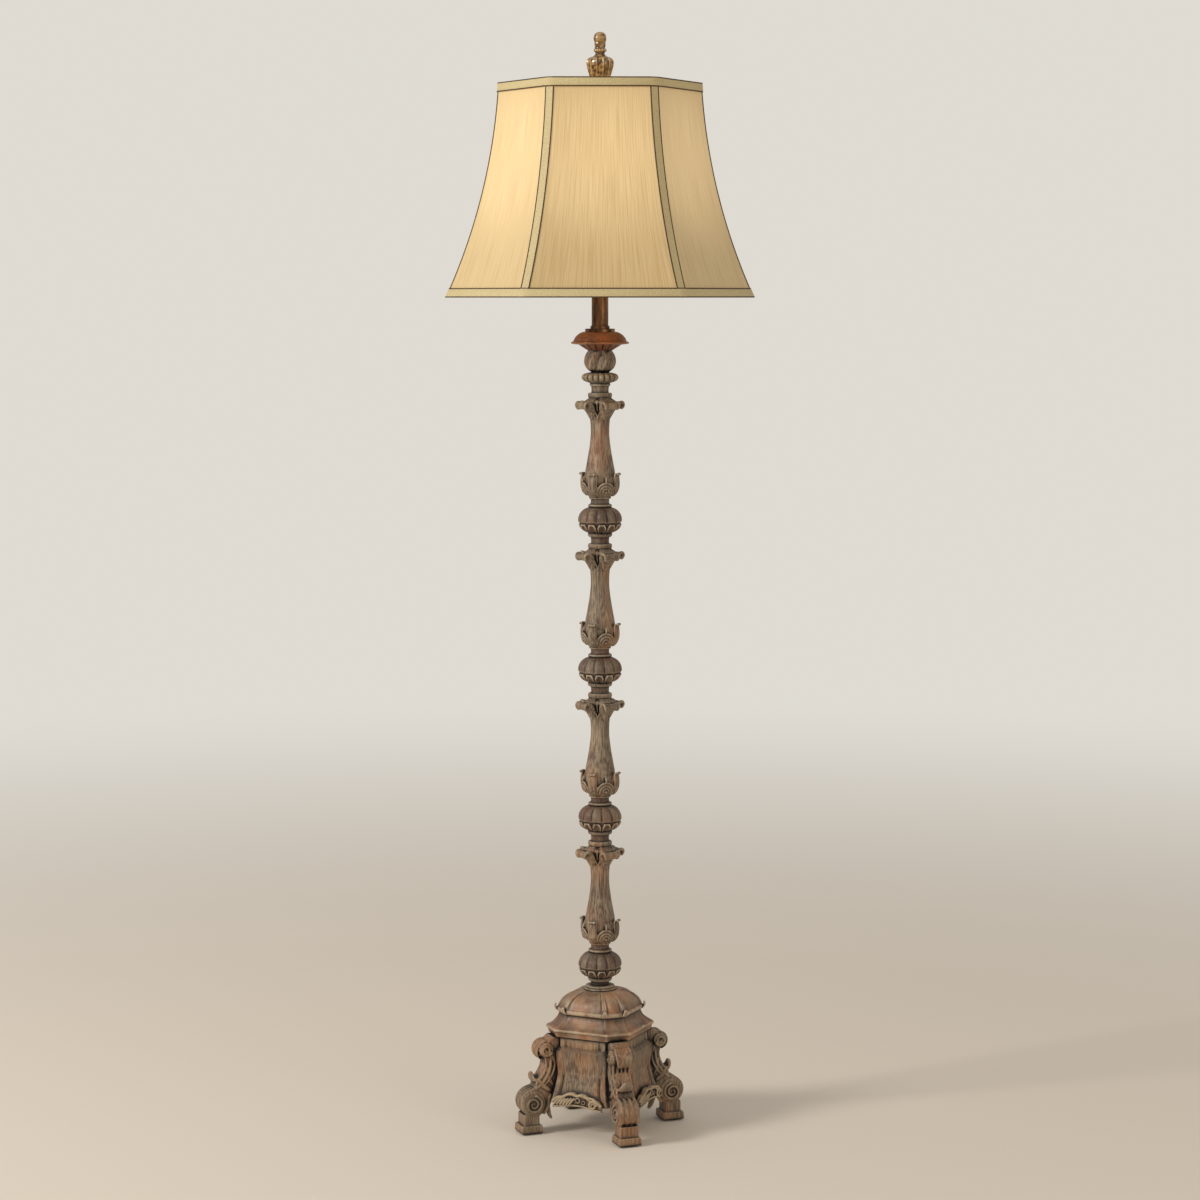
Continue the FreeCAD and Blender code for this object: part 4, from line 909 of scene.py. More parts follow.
@dataclass(frozen=True)
class MetalFinish:
    """A metal with brushed or cloudy tarnish."""

    name: str
    bright: int
    dull: int
    metallic: float = 1.0
    rough: float = 0.3
    scale: float = 90.0
    stretch: float = 0.3
    coat: float = 0.0

    def build(self, effects: Effects) -> bpy.types.Material:
        """Build the material."""
        finish = Finish(self.name)
        wires = finish.wiring
        place = wires.place((1, 1, self.stretch))
        cloud = wires.spread(wires.noise(place, self.scale, 4.0), 0.35, 0.65)
        fine = wires.noise(place, self.scale * 9, 2.0)
        finish.set(
            base_color=wires.blend(cloud, colour(self.bright), colour(self.dull)),
            metallic=self.metallic, coat_weight=self.coat, coat_roughness=0.15,
            roughness=wires.spread(cloud, 0.0, 1.0, self.rough, self.rough + 0.18),
            normal=wires.bump(fine, 0.12, 0.1),
        )
        return finish.material


@dataclass(frozen=True)
class MottledFinish:
    """A dull or glossy stuff with a fine mottle: resin, rubber, card, felt or phenolic."""

    name: str
    light: int
    dark: int
    rough: float
    scale: float = 140.0
    depth: float = 0.1
    low: float = 0.38
    high: float = 0.62
    coat: float = 0.0
    glow: int = 0x000000
    strength: float = 0.0
    # Adds painted shade in the hollows and a pale colour on the raised edges that is partly a
    # painted highlight.
    relief: bool = False

    def build(self, effects: Effects) -> bpy.types.Material:
        """Build the material."""
        finish = Finish(self.name)
        wires = finish.wiring
        spots = wires.noise(wires.place((1, 1, 1)), self.scale, 5.0, 0.6)
        base = wires.blend(
            wires.spread(spots, self.low, self.high), colour(self.light), colour(self.dark)
        )
        if self.relief:
            # Raised edges go pale cream, partly a painted highlight; hollows go dark brown: painted
            # shade.
            carved = finish.group(effects.relief, reach=0.003)
            base = wires.blend(carved.outputs["Ridge"], base, colour(0xF0DFAE))
            base = wires.blend(carved.outputs["Hollow"], base, colour(0x2A1508))
        finish.set(
            base_color=base, coat_weight=self.coat, coat_roughness=0.08,
            roughness=wires.spread(spots, 0.3, 0.7, self.rough, self.rough + 0.12),
            normal=wires.bump(wires.noise(wires.place((1, 1, 1)), self.scale * 4), 0.3, self.depth),
        )
        if self.strength:
            finish.set(emission_color=colour(self.glow), emission_strength=self.strength)
        return finish.material


@dataclass(frozen=True)
class BulbGlass:
    """Frosted glass of a lit bulb."""

    name: str = "frosted_bulb_glass"

    def build(self, effects: Effects) -> bpy.types.Material:
        """Build the material."""
        finish = Finish(self.name)
        wires = finish.wiring
        frost = wires.noise(wires.place((1, 1, 1)), 900.0, 2.0)
        finish.set(
            base_color=colour(0xFFF6E6), alpha=0.92, emission_color=colour(0xFFE2B0),
            emission_strength=0.9, normal=wires.bump(frost, 0.1, 0.05),
            roughness=wires.spread(frost, 0.3, 0.7, 0.35, 0.5),
        )
        return finish.material


# ----------------------------------------------------------------- column


def petal(width: float, share: float, rise: float) -> float:
    """Relief of a round-topped petal with a raised rim and a hollow middle.

    Args:
        width: Width of the petal as a share of one repeat.
        share: Share across one repeat, -0.5 to 0.5.
        rise: Share up the petal, 0 to 1.

    Returns:
        Millimetres outwards.
    """
    aside = abs(share) / (width / 2)
    round_top = math.sqrt(max(0.0, 1 - aside ** 2))
    edge = rise - (0.45 + 0.5 * round_top)
    if aside > 1 or edge > 0.04:
        return -2.6
    if aside > 0.62 or edge > -0.16:
        return 1.3
    return -1.6 if aside < 0.35 and rise < 0.85 else -0.4


def gadroon(depth: float, share: float, rise: float) -> float:
    """Relief of a rounded lobe between narrow furrows, fading at both ends."""
    fade = min(1.0, 5 * rise + 0.3, 4 * (1 - rise) + 0.25)
    return depth * (math.cos(math.pi * share) ** 0.6 - 0.75) * fade


@dataclass
class Knop:
    """Gadrooned knop between two necks, one to each module of the column."""

    finish: bpy.types.Material
    feet: tuple[float, ...] = (216.0, 441.9, 667.8, 893.7)
    lobes: int = 12
    petals: int = 12
    sides: int = 144
    lobe_depth: float = 3.2
    neck: tuple[tuple[float, float], ...] = (
        (13.9, 0), (13.7, 0.8), (13.4, 5.0), (13.9, 9.0), (14.6, 10.0),
        (17.0, 10.3), (18.2, 12.2), (18.6, 14.6), (17.6, 16.2),
    )
    bowl: tuple[tuple[float, float], ...] = (
        (17.9, 16.8), (20.8, 17.9), (23.6, 19.2), (26.0, 20.9), (28.1, 22.7),
        (29.8, 24.7), (31.1, 26.9), (31.9, 29.2), (32.3, 31.2),
    )
    crown: tuple[tuple[float, float], ...] = (
        (31.9, 32.4), (32.3, 34.2), (32.3, 37.4), (31.6, 41.0), (30.2, 44.5),
        (28.0, 47.8), (25.0, 50.7), (21.3, 53.0), (18.0, 54.3),
    )
    lip: tuple[tuple[float, float], ...] = (
        (16.9, 54.7), (17.5, 55.4), (18.1, 57.2), (17.7, 59.0), (15.0, 59.6),
        (13.9, 60.2), (13.6, 63.6), (13.9, 66.6), (13.9, 67.5),
    )
    step_turn: float = 7.5

    def build(self) -> list[bpy.types.Object]:
        """Turn and carve the first knop, then copy it up the column.

        Returns:
            The knops, from the lowest up.
        """
        lathe = Lathe("carved_knop_1", self.sides, self.neck + self.bowl + self.crown + self.lip)
        first = len(self.neck)
        last = first + len(self.bowl) - 1
        lathe.carve(first, last, self.petals, lambda share, rise: petal(0.92, share, rise))
        top = last + len(self.crown)
        lathe.carve(
            last + 1, top, self.lobes, lambda share, rise: gadroon(self.lobe_depth, share, rise)
        )
        knop = placed(lathe.finish(1), up=self.feet[0])
        knops = [knop] + [
            copied(
                knop, f"carved_knop_{number}", turn=self.step_turn * number,
                up=foot - self.feet[0],
            )
            for number, foot in enumerate(self.feet[1:], 2)
        ]
        for piece in knops:
            dressed(piece, Body.STAND, self.finish)
        return knops


@dataclass
class Baluster:
    """Leaf cup, waisted shaft and leaf capital between two rings."""

    finish: bpy.types.Material
    feet: tuple[float, ...] = (283.5, 509.4, 735.3, 961.2)
    sides: int = 96
    cup_azimuth: float = 0.0
    capital_azimuth: float = 57.0
    leaves: int = 4
    foot: tuple[tuple[float, float], ...] = (
        (16.0, 0), (16.6, 0.5), (16.6, 2.2), (15.6, 3.0),
    )
    cup: tuple[tuple[float, float], ...] = (
        (17.2, 3.6), (20.2, 5.0), (22.8, 7.2), (24.9, 9.8), (26.3, 12.8), (27.1, 16.0),
        (27.4, 19.4), (27.4, 23.0), (27.0, 26.6), (26.4, 30.0), (25.4, 33.0), (24.2, 35.6),
    )
    shaft: tuple[tuple[float, float], ...] = (
        (22.6, 37.2), (22.3, 40.0), (20.9, 47), (19.2, 56), (17.4, 66), (15.7, 77),
        (14.2, 88), (13.5, 98), (13.7, 108), (14.4, 118), (15.8, 127), (17.8, 133),
        (21.4, 139), (25.4, 143.4), (24.6, 146.2), (18.4, 149.4), (17.0, 151),
    )
    ring: tuple[tuple[float, float], ...] = (
        (16.9, 151.6), (17.6, 152.2), (18.2, 153.4), (18.2, 156.6), (17.6, 158.0), (16.8, 158.4),
    )
    cup_leaf: tuple[Station, ...] = (
        Station(19.5, 4.0, 3.6, 0.8), Station(24.8, 8.5, 4.8, 1.2), Station(27.6, 14.0, 5.8, 1.4),
        Station(28.6, 20.0, 6.8, 1.5), Station(28.4, 26.0, 7.4, 1.5),
        Station(27.8, 31.0, 7.4, 1.3), Station(27.8, 34.4, 7.0, 1.0),
        Station(28.6, 37.4, 6.6, 0.8), Station(30.2, 37.8, 6.0, 0.6),
        Station(30.8, 35.4, 5.0, 0.2),
    )
    capital_leaf: tuple[Station, ...] = (
        Station(13.6, 118.0, 3.6, 0.6), Station(15.4, 124.0, 6.8, 1.2),
        Station(17.2, 130.0, 10.0, 1.8), Station(19.8, 135.6, 13.0, 2.6),
        Station(23.4, 140.4, 15.0, 3.2), Station(27.6, 143.6, 15.6, 3.4),
        Station(31.4, 144.2, 15.2, 3.2), Station(33.6, 141.4, 14.4, 2.8),
        Station(33.2, 137.4, 13.0, 2.2), Station(29.8, 134.6, 11.0, 1.4),
    )

    def _turned(self) -> bpy.types.Object:
        """The turned body with its faceted shaft."""
        lathe = Lathe(
            "carved_baluster_1", self.sides, self.foot + self.cup + self.shaft + self.ring,
        )
        start = len(self.foot) + len(self.cup)
        lathe.carve(
            len(self.foot) + 1, start - 1, self.leaves,
            lambda share, rise: -2.6 * max(0.0, 1 - (abs(share) / 0.36) ** 4),
            self.cup_azimuth + 180 / self.leaves,
        )
        lathe.carve(
            start + 1, start + len(self.shaft) - 4, self.leaves,
            lambda share, rise: -1.3 * max(0.0, 1 - abs(share) * 9), self.cup_azimuth,
        )
        lathe.carve(
            start + 1, start + len(self.shaft) - 4, self.leaves * 3,
            lambda share, rise: 0.35 * math.cos(2 * math.pi * share), self.cup_azimuth,
        )
        rows = len(lathe.profile) - len(self.ring)
        lathe.carve(
            rows - 6, rows - 2, self.leaves,
            lambda share, rise: -5.0 * max(0.0, 1 - (abs(share) / 0.2) ** 2),
            self.capital_azimuth + 180 / self.leaves,
        )
        return lathe.finish(1)

    def _shell(self) -> list[bpy.types.Object]:
        """Nested arches round a rosette, between two leaves of the cup."""
        arches = []
        for number, (radius, thick) in enumerate(((4.8, 1.3), (9.0, 1.4), (13.4, 1.4))):
            line = []
            for step in range(9):
                angle = math.radians(-14 + 208 / 8 * step)
                swing, up = radius * math.cos(angle), 11.0 + radius * math.sin(angle)
                out = self._cup_face(up) - 0.2
                line.append(self._round(out, swing, up))
            arches.append(cord_of(f"arch_{number}", line, [thick * 1.25] * 9))
        drop = [(self._cup_face(up) + 0.6, 0.0, up) for up in (24.0, 27.5, 31.0, 34.5)]
        arches.append(cord_of("drop", drop, (0.6, 1.7, 1.3, 0.4)))
        rosette = [(self._cup_face(11.0) - 1.5 + 1.5 * n, 0.0, 11.0) for n in range(3)]
        arches.append(cord_of("rosette", rosette, (2.8, 2.6, 0.8)))
        return arches

    def _cup_face(self, up: float) -> float:
        """Radius of the cup at a height."""
        rows = self.cup
        for (low, foot), (high, top) in zip(rows, rows[1:]):
            if foot <= up <= top:
                return low + (high - low) * (up - foot) / (top - foot)
        return rows[0][0] if up < rows[0][1] else rows[-1][0]

    @staticmethod
    def _round(out: float, swing: float, up: float) -> Point:
        """A point that lies this far round the cup from the middle of a shell."""
        angle = swing / out
        return (out * math.cos(angle), out * math.sin(angle), up)

    def _dart(self) -> list[bpy.types.Object]:
        """Pale edges of the gap between two leaves of the capital, and a dart in it."""
        edges = []
        for side in (-1, 1):
            line = [
                self._round(15.0, 0.0, 121.0), self._round(17.4, side * 3.2, 131.0),
                self._round(20.0, side * 7.6, 139.0), self._round(23.0, side * 12.0, 145.5),
            ]
            edges.append(cord_of(f"edge_{side}", line, (0.7, 1.3, 1.5, 1.2)))
        dart = [(17.0, 0, 131.0), (19.0, 0, 138.0), (19.6, 0, 144.0), (18.6, 0, 148.5)]
        edges.append(cord_of("dart", dart, (0.6, 1.9, 1.6, 0.6)))
        return edges

    def build(self) -> list[bpy.types.Object]:
        """Carve the first baluster, then copy it up the column.

        Returns:
            The balusters, from the lowest up.
        """
        parts = [self._turned()]
        quarter = 360 / self.leaves
        cup = placed(leaf("cup_leaf", self.cup_leaf, 4.0, 3, 2.0), turn=self.cup_azimuth)
        roll = cord_of(
            "roll", [(30.4, side, 140.2) for side in (-11.0, -6.0, 0.0, 6.0, 11.0)],
            (3.2, 4.6, 5.2, 4.6, 3.2),
        )
        capital = placed(
            joined("capital_leaf", [leaf("blade", self.capital_leaf, 5.6, 3, 2.2), roll]),
            turn=self.capital_azimuth,
        )
        shell = placed(joined("shell", self._shell()), turn=self.cup_azimuth + quarter / 2)
        dart = placed(joined("dart", self._dart()), turn=self.capital_azimuth + quarter / 2)
        for first in (cup, capital, shell, dart):
            parts.append(first)
            parts += [
                copied(first, f"{first.name}_{number}", turn=quarter * number)
                for number in range(1, self.leaves)
            ]
        baluster = recast(joined("carved_baluster_1", parts), 0.85)
        placed(shade(baluster, 60), up=self.feet[0])
        balusters = [baluster] + [
            copied(baluster, f"carved_baluster_{number}", up=foot - self.feet[0])
            for number, foot in enumerate(self.feet[1:], 2)
        ]
        for piece in balusters:
            dressed(piece, Body.STAND, self.finish)
        return balusters


@dataclass
class ColumnTop:
    """Flange at the foot of the column, and the knop, lobed bulb and drip pan at its top."""

    finish: bpy.types.Material
    pan_finish: bpy.types.Material
    flange_foot: float = 213.5
    knop_foot: float = 1119.6
    bulb_foot: float = 1150.3
    pan_foot: float = 1182.6
    disc_lobes: int = 18
    bulb_lobes: int = 6
    pan_leaves: int = 16

    def flange(self) -> bpy.types.Object:
        """The moulded flange on the dome."""
        lathe = Lathe("carved_column_flange", 64, (
            (24.4, 0.0), (24.8, 0.4), (24.85, 1.6), (24.3, 2.6), (22.6, 3.2), (21.8, 4.0),
            (22.4, 4.8), (22.2, 5.8), (20.6, 6.5), (14.6, 6.7),
        ))
        return placed(lathe.finish(1), up=self.flange_foot)

    def upper_knop(self) -> bpy.types.Object:
        """Neck, small ring and gadrooned disc."""
        lathe = Lathe("carved_upper_knop", self.disc_lobes * 8, (
            (13.2, 0), (13.0, 0.8), (12.8, 5.0), (13.2, 9.2), (13.8, 10.0),
            (15.4, 10.4), (15.5, 13.4), (14.8, 14.4), (16.0, 15.0),
            (21.4, 16.6), (25.2, 18.8), (27.0, 21.6), (27.2, 24.2), (25.8, 26.8),
            (22.4, 28.9), (17.6, 30.1), (13.2, 30.7),
        ))
        lathe.carve(
            9, 14, self.disc_lobes,
            lambda share, rise: 3.2 * (abs(math.cos(math.pi * share)) ** 0.7 - 0.75),
        )
        return placed(lathe.finish(1), up=self.knop_foot)

    def lobed_bulb(self) -> bpy.types.Object:
        """Bulb of leaf lobes that lean round it."""
        lathe = Lathe("carved_lobed_bulb", self.bulb_lobes * 16, (
            (13.0, 0), (14.4, 0.6), (17.4, 3.0), (19.8, 6.4), (21.4, 10.4), (22.1, 14.6),
            (21.9, 19.0), (20.9, 23.2), (19.6, 26.8), (18.6, 29.6), (18.0, 31.6), (17.9, 32.3),
        ))

        def lobe(share: float, rise: float) -> float:
            """A swollen lobe with a rib up its middle and a furrow beside it."""
            fade = min(1.0, 4 * rise + 0.2, 4 * (1 - rise) + 0.2)
            rib = 0.9 if abs(share) < 0.04 else 0.0
            vein = -0.5 if 0.16 < abs(share) < 0.24 else 0.0
            return fade * (4.4 * (math.cos(math.pi * share) - 0.66) + rib + 1.6 * vein)

        lathe.carve(1, 10, self.bulb_lobes, lobe)
        lathe.twist(1, 10, 38)
        return placed(lathe.finish(1), up=self.bulb_foot)

    def drip_pan(self) -> bpy.types.Object:
        """Leaf cup, thin rim and ribbed dome."""
        lathe = Lathe("carved_drip_pan", self.pan_leaves * 12, (
            (17.9, 0), (18.6, 0.5), (21.0, 2.4), (23.9, 4.5), (26.8, 6.4), (29.4, 8.0),
            (30.2, 9.0), (39.4, 9.4), (42.6, 9.9), (43.4, 10.9), (43.4, 12.0),
            (42.4, 13.0), (40.2, 13.5), (39.5, 14.4), (38.6, 17.0), (36.8, 20.0),
            (34.2, 22.8), (31.0, 25.2), (27.6, 26.9), (25.0, 27.7),
        ))

        def frond(share: float, rise: float) -> float:
            """A small leaf with two furrows, widest at the rim."""
            furrow = -0.9 if 0.12 < abs(share) < 0.24 else 0.0
            return furrow + (1.5 if abs(share) < 0.4 else -1.8) * min(1.0, 2 * rise + 0.2)

        lathe.carve(1, 6, self.pan_leaves, frond)
        lathe.carve(
            14, 18, self.pan_leaves * 3,
            lambda share, rise: -0.22 if abs(share) > 0.36 else 0.12,
        )
        return placed(lathe.finish(1), up=self.pan_foot)

    def build(self) -> None:
        """Make and dress the four pieces."""
        for piece in (self.flange(), self.upper_knop(), self.lobed_bulb()):
            dressed(piece, Body.STAND, self.finish)
        pan = self.drip_pan()
        dressed(pan, Body.STAND, self.pan_finish)


# ------------------------------------------------------------------- base


@dataclass(frozen=True)
class Ring:
    """One level of a chamfered square: height, half width and half length of a broad face."""

    up: float
    half: float
    edge: float


Relief = Callable[[bool, float, float], float]


class SquareStack:
    """Raises a chamfered square level by level and carves its faces."""

    def __init__(self, name: str, rings: Sequence[Ring], broad: int, narrow: int) -> None:
        """Lay the lowest level and raise the others from it.

        Args:
            name: Name of the piece.
            rings: Its levels, in the order in which they are raised.
            broad: Steps across a broad face.
            narrow: Steps across a chamfer.
        """
        self.rings = list(rings)
        self.broad, self.narrow = broad, narrow
        sides = 4 * (broad + narrow)
        first = self.rings[0]
        self.blank = Blank.disc(name, sides, first.half, first.up)
        self._lay(first)
        before = first
        for ring in self.rings[1:]:
            self.blank.extrude((0, 0, ring.up - before.up))
            self._resize(before, ring)
            before = ring
        self.numbers = self._number_points()

    def _places(self, ring: Ring) -> list[tuple[float, float]]:
        """Where the points of one level lie, anticlockwise from the first broad face."""
        places = []
        for quarter in range(4):
            bearing = quarter * math.pi / 2
            cos, sin = round(math.cos(bearing)), round(math.sin(bearing))
            steps = [(ring.half, ring.edge * (2 * n / self.broad - 1)) for n in range(self.broad)]
            steps += [
                (
                    ring.half + (ring.edge - ring.half) * n / self.narrow,
                    ring.edge + (ring.half - ring.edge) * n / self.narrow,
                )
                for n in range(self.narrow)
            ]
            places += [(x * cos - y * sin, x * sin + y * cos) for x, y in steps]
        return places

    def _lay(self, ring: Ring) -> None:
        """Move the points of the first disc onto the lowest level."""
        homes = [tuple(p.co / MM) for p in bmesh.from_edit_mesh(self.blank.piece.data).verts]
        order = sorted(range(len(homes)), key=lambda n: math.atan2(homes[n][1], homes[n][0]))
        places = sorted(self._places(ring), key=lambda place: math.atan2(place[1], place[0]))
        for number, (x, y) in zip(order, places):
            self.blank.pick_at([number])
            self.blank.move((x - homes[number][0], y - homes[number][1], 0))
        self.blank.pick_all()

    def _resize(self, before: Ring, ring: Ring) -> None:
        """Fit the level that was just raised to its own width."""
        height = ring.up
        spread = (ring.half + ring.edge) / (before.half + before.edge)
        pinch = (ring.half - ring.edge) / (before.half - before.edge)
        grow, wide = ring.half / before.half, ring.edge / before.edge
        level = {p.index for p in bmesh.from_edit_mesh(self.blank.piece.data).verts if p.select}
        chamfers = {
            swing: self._pick_level(
                level, lambda x, y: x * y * sign > 0
                and min(abs(x), abs(y)) > before.edge - 0.01,
            )
            for swing, sign in ((45, 1), (-45, -1))
        }
        faces = {
            axis: self._pick_level(
                level, lambda x, y: abs(y if axis else x) > before.half - 0.01
                and abs(x if axis else y) < before.edge - 0.01,
            )
            for axis in (0, 1)
        }
        for swing, numbers in chamfers.items():
            self.blank.pick_at(numbers)
            self.blank.scale((spread, pinch, 1), (0, 0, height), swing)
        for axis, numbers in faces.items():
            self.blank.pick_at(numbers)
            self.blank.scale((wide, grow, 1) if axis else (grow, wide, 1), (0, 0, height))
        self.blank.pick_at(level)

    def _pick_level(self, level: set[int], test: Callable[[float, float], bool]) -> list[int]:
        """Numbers of the points of a level that pass a test."""
        mesh = bmesh.from_edit_mesh(self.blank.piece.data)
        return [
            point.index for point in mesh.verts
            if point.index in level and test(point.co.x / MM, point.co.y / MM)
        ]

    def _number_points(self) -> dict[tuple[int, int], int]:
        """Find the mesh number of each level's points."""
        tree = KDTree(len(self.rings) * 4 * (self.broad + self.narrow))
        keys = []
        for level, ring in enumerate(self.rings):
            for column, (x, y) in enumerate(self._places(ring)):
                tree.insert((x, y, ring.up), len(keys))
                keys.append((level, column))
        tree.balance()
        numbers = {}
        for point in bmesh.from_edit_mesh(self.blank.piece.data).verts:
            numbers[keys[tree.find(point.co / MM)[1]]] = point.index
        return numbers

    def carve(self, first: int, last: int, relief: Relief) -> None:
        """Push the points of the faces in or out.

        Args:
            first: First level of the carving.
            last: Last level of the carving.
            relief: Called with whether the face is broad, the share across it from -1 to 1
                and the share up the carving from 0 to 1; returns millimetres outwards.
        """
        period = self.broad + self.narrow
        for level in range(first, last + 1):
            ring = self.rings[level]
            rise = (level - first) / max(last - first, 1)
            groups: dict[tuple[float, float], list[int]] = {}
            for column in range(4 * period):
                quarter, step = divmod(column, period)
                broad = step < self.broad
                if step in (0, self.broad):
                    continue
                share = 2 * step / self.broad - 1 if broad else (
                    2 * (step - self.broad) / self.narrow - 1
                )
                push = round(relief(broad, share, rise), 2)
                swing = (quarter % 2) * 90.0 + (0.0 if broad else 45.0)
                if abs(push) > 0.01:
                    groups.setdefault((swing, push), []).append(self.numbers[level, column])
            for (swing, push), numbers in groups.items():
                reach = ring.half if swing % 90 == 0 else (ring.half + ring.edge) / math.sqrt(2)
                self.blank.pick_at(numbers)
                self.blank.scale(((reach + push) / reach, 1, 1), (0, 0, ring.up), swing)

    def finish(self, arris: float = 0.7) -> bpy.types.Object:
        """Soften the arrises and hand the piece over."""
        piece = outward(self.blank.finish())
        modify(
            piece, "BEVEL", width=arris * MM, segments=2, limit_method="ANGLE",
            angle_limit=math.radians(32),
        )
        return shade(outward(piece), 35)


def graded(low: Ring, high: Ring, curve: Sequence[tuple[float, float]]) -> list[Ring]:
    """Levels between two rings along a curve of (share of the rise, share of the step)."""
    return [
        Ring(
            low.up + (high.up - low.up) * rise,
            low.half + (high.half - low.half) * step,
            low.edge + (high.edge - low.edge) * step,
        )
        for rise, step in curve
    ]


FLARE = (
    (0.0, 1.0), (0.1, 0.82), (0.2, 0.64), (0.32, 0.45), (0.45, 0.28), (0.58, 0.18),
    (0.7, 0.09), (0.85, 0.04), (1.0, 0.0),
)
HOLLOW = ((0.05, 0.14), (0.13, 0.32), (0.3, 0.52), (0.47, 0.71), (0.65, 0.86), (0.82, 0.95), (1, 1))
DOME = ((0.15, 0.04), (0.35, 0.12), (0.5, 0.22), (0.65, 0.36), (0.77, 0.5), (0.87, 0.68),
        (0.94, 0.84),
        (1, 1))


@dataclass
class BaseCap:
    """Cornice, hollow moulding, bead and ribbed dome on the chamfered square."""

    finish: bpy.types.Material
    foot: float = 149.0
    broad: int = 24
    narrow: int = 12
    lug_reach: float = 66.0
    lug_azimuth: float = 30.7
    lug_bite: float = 1.5

    def _lug(self) -> bpy.types.Object:
        """One of the upturned leaf tips at the corners of the bead."""
        lug = leaf("lug", (
            Station(-5.0, 33.4, 3.4, 0.6), Station(-1.2, 33.6, 4.4, 1.0),
            Station(2.0, 35.4, 4.6, 1.2),
            Station(3.8, 38.6, 4.0, 1.0), Station(4.0, 41.8, 2.8, 0.6),
            Station(3.0, 43.8, 1.4, 0.2),
        ), 2.6, 1, 0.5)
        return placed(lug, shift=(self.lug_reach - self.lug_bite, 0, 0))

    def build(self) -> None:
        """Raise, carve and dress the cap."""
        bead_top = Ring(40, 55.3, 33)
        rings = [
            Ring(0, 66.4, 41.7), Ring(1.0, 66.8, 42.0), Ring(6.6, 68.2, 42.6), Ring(8, 68.4, 42.7),
            Ring(8, 70.0, 43.5), Ring(9.2, 70.4, 43.7), Ring(11, 70.4, 43.7), Ring(12, 69.8, 43.6),
        ]
        hollow = len(rings)
        rings += graded(Ring(12, 68.4, 43.7), Ring(32, 53.5, 32), HOLLOW)
        bead = len(rings)
        rings += [
            Ring(32, 55.0, 32.8), Ring(33, 56.6, 33.6), Ring(34.4, 57.4, 34), Ring(37.6, 57.4, 34),
            Ring(39, 56.6, 33.6), bead_top,
        ]
        dome = len(rings)
        rings += graded(bead_top, Ring(64.5, 26, 14), DOME)
        stack = SquareStack("cap_block", rings, self.broad, self.narrow)

        def fluted(broad: bool, share: float, rise: float) -> float:
            """Shallow flutes with raised strips beside the arrises."""
            aside = abs(share)
            if broad:
                return 1.0 if aside > 0.88 else -1.6 if 0.78 < aside < 0.88 else 0.0
            return 1.1 if aside > 0.75 else -1.6 if 0.5 < aside < 0.75 else 0.0

        stack.carve(dome, len(rings) - 2, fluted)
        stack.carve(
            hollow, bead - 2,
            lambda broad, share, rise: -0.9 if 0.84 < abs(share) < 0.93 and broad else 0.0,
        )
        parts = [stack.finish()]
        first = self._lug()
        for number in range(8):
            side = 1 if number % 2 else -1
            turn = 90 * (number // 2) + side * self.lug_azimuth
            parts.append(copied(first, f"lug_{number}", turn=turn))
        bpy.data.objects.remove(first)
        cap = placed(joined("carved_base_cap", parts), up=self.foot)
        dressed(cap, Body.STAND, self.finish)


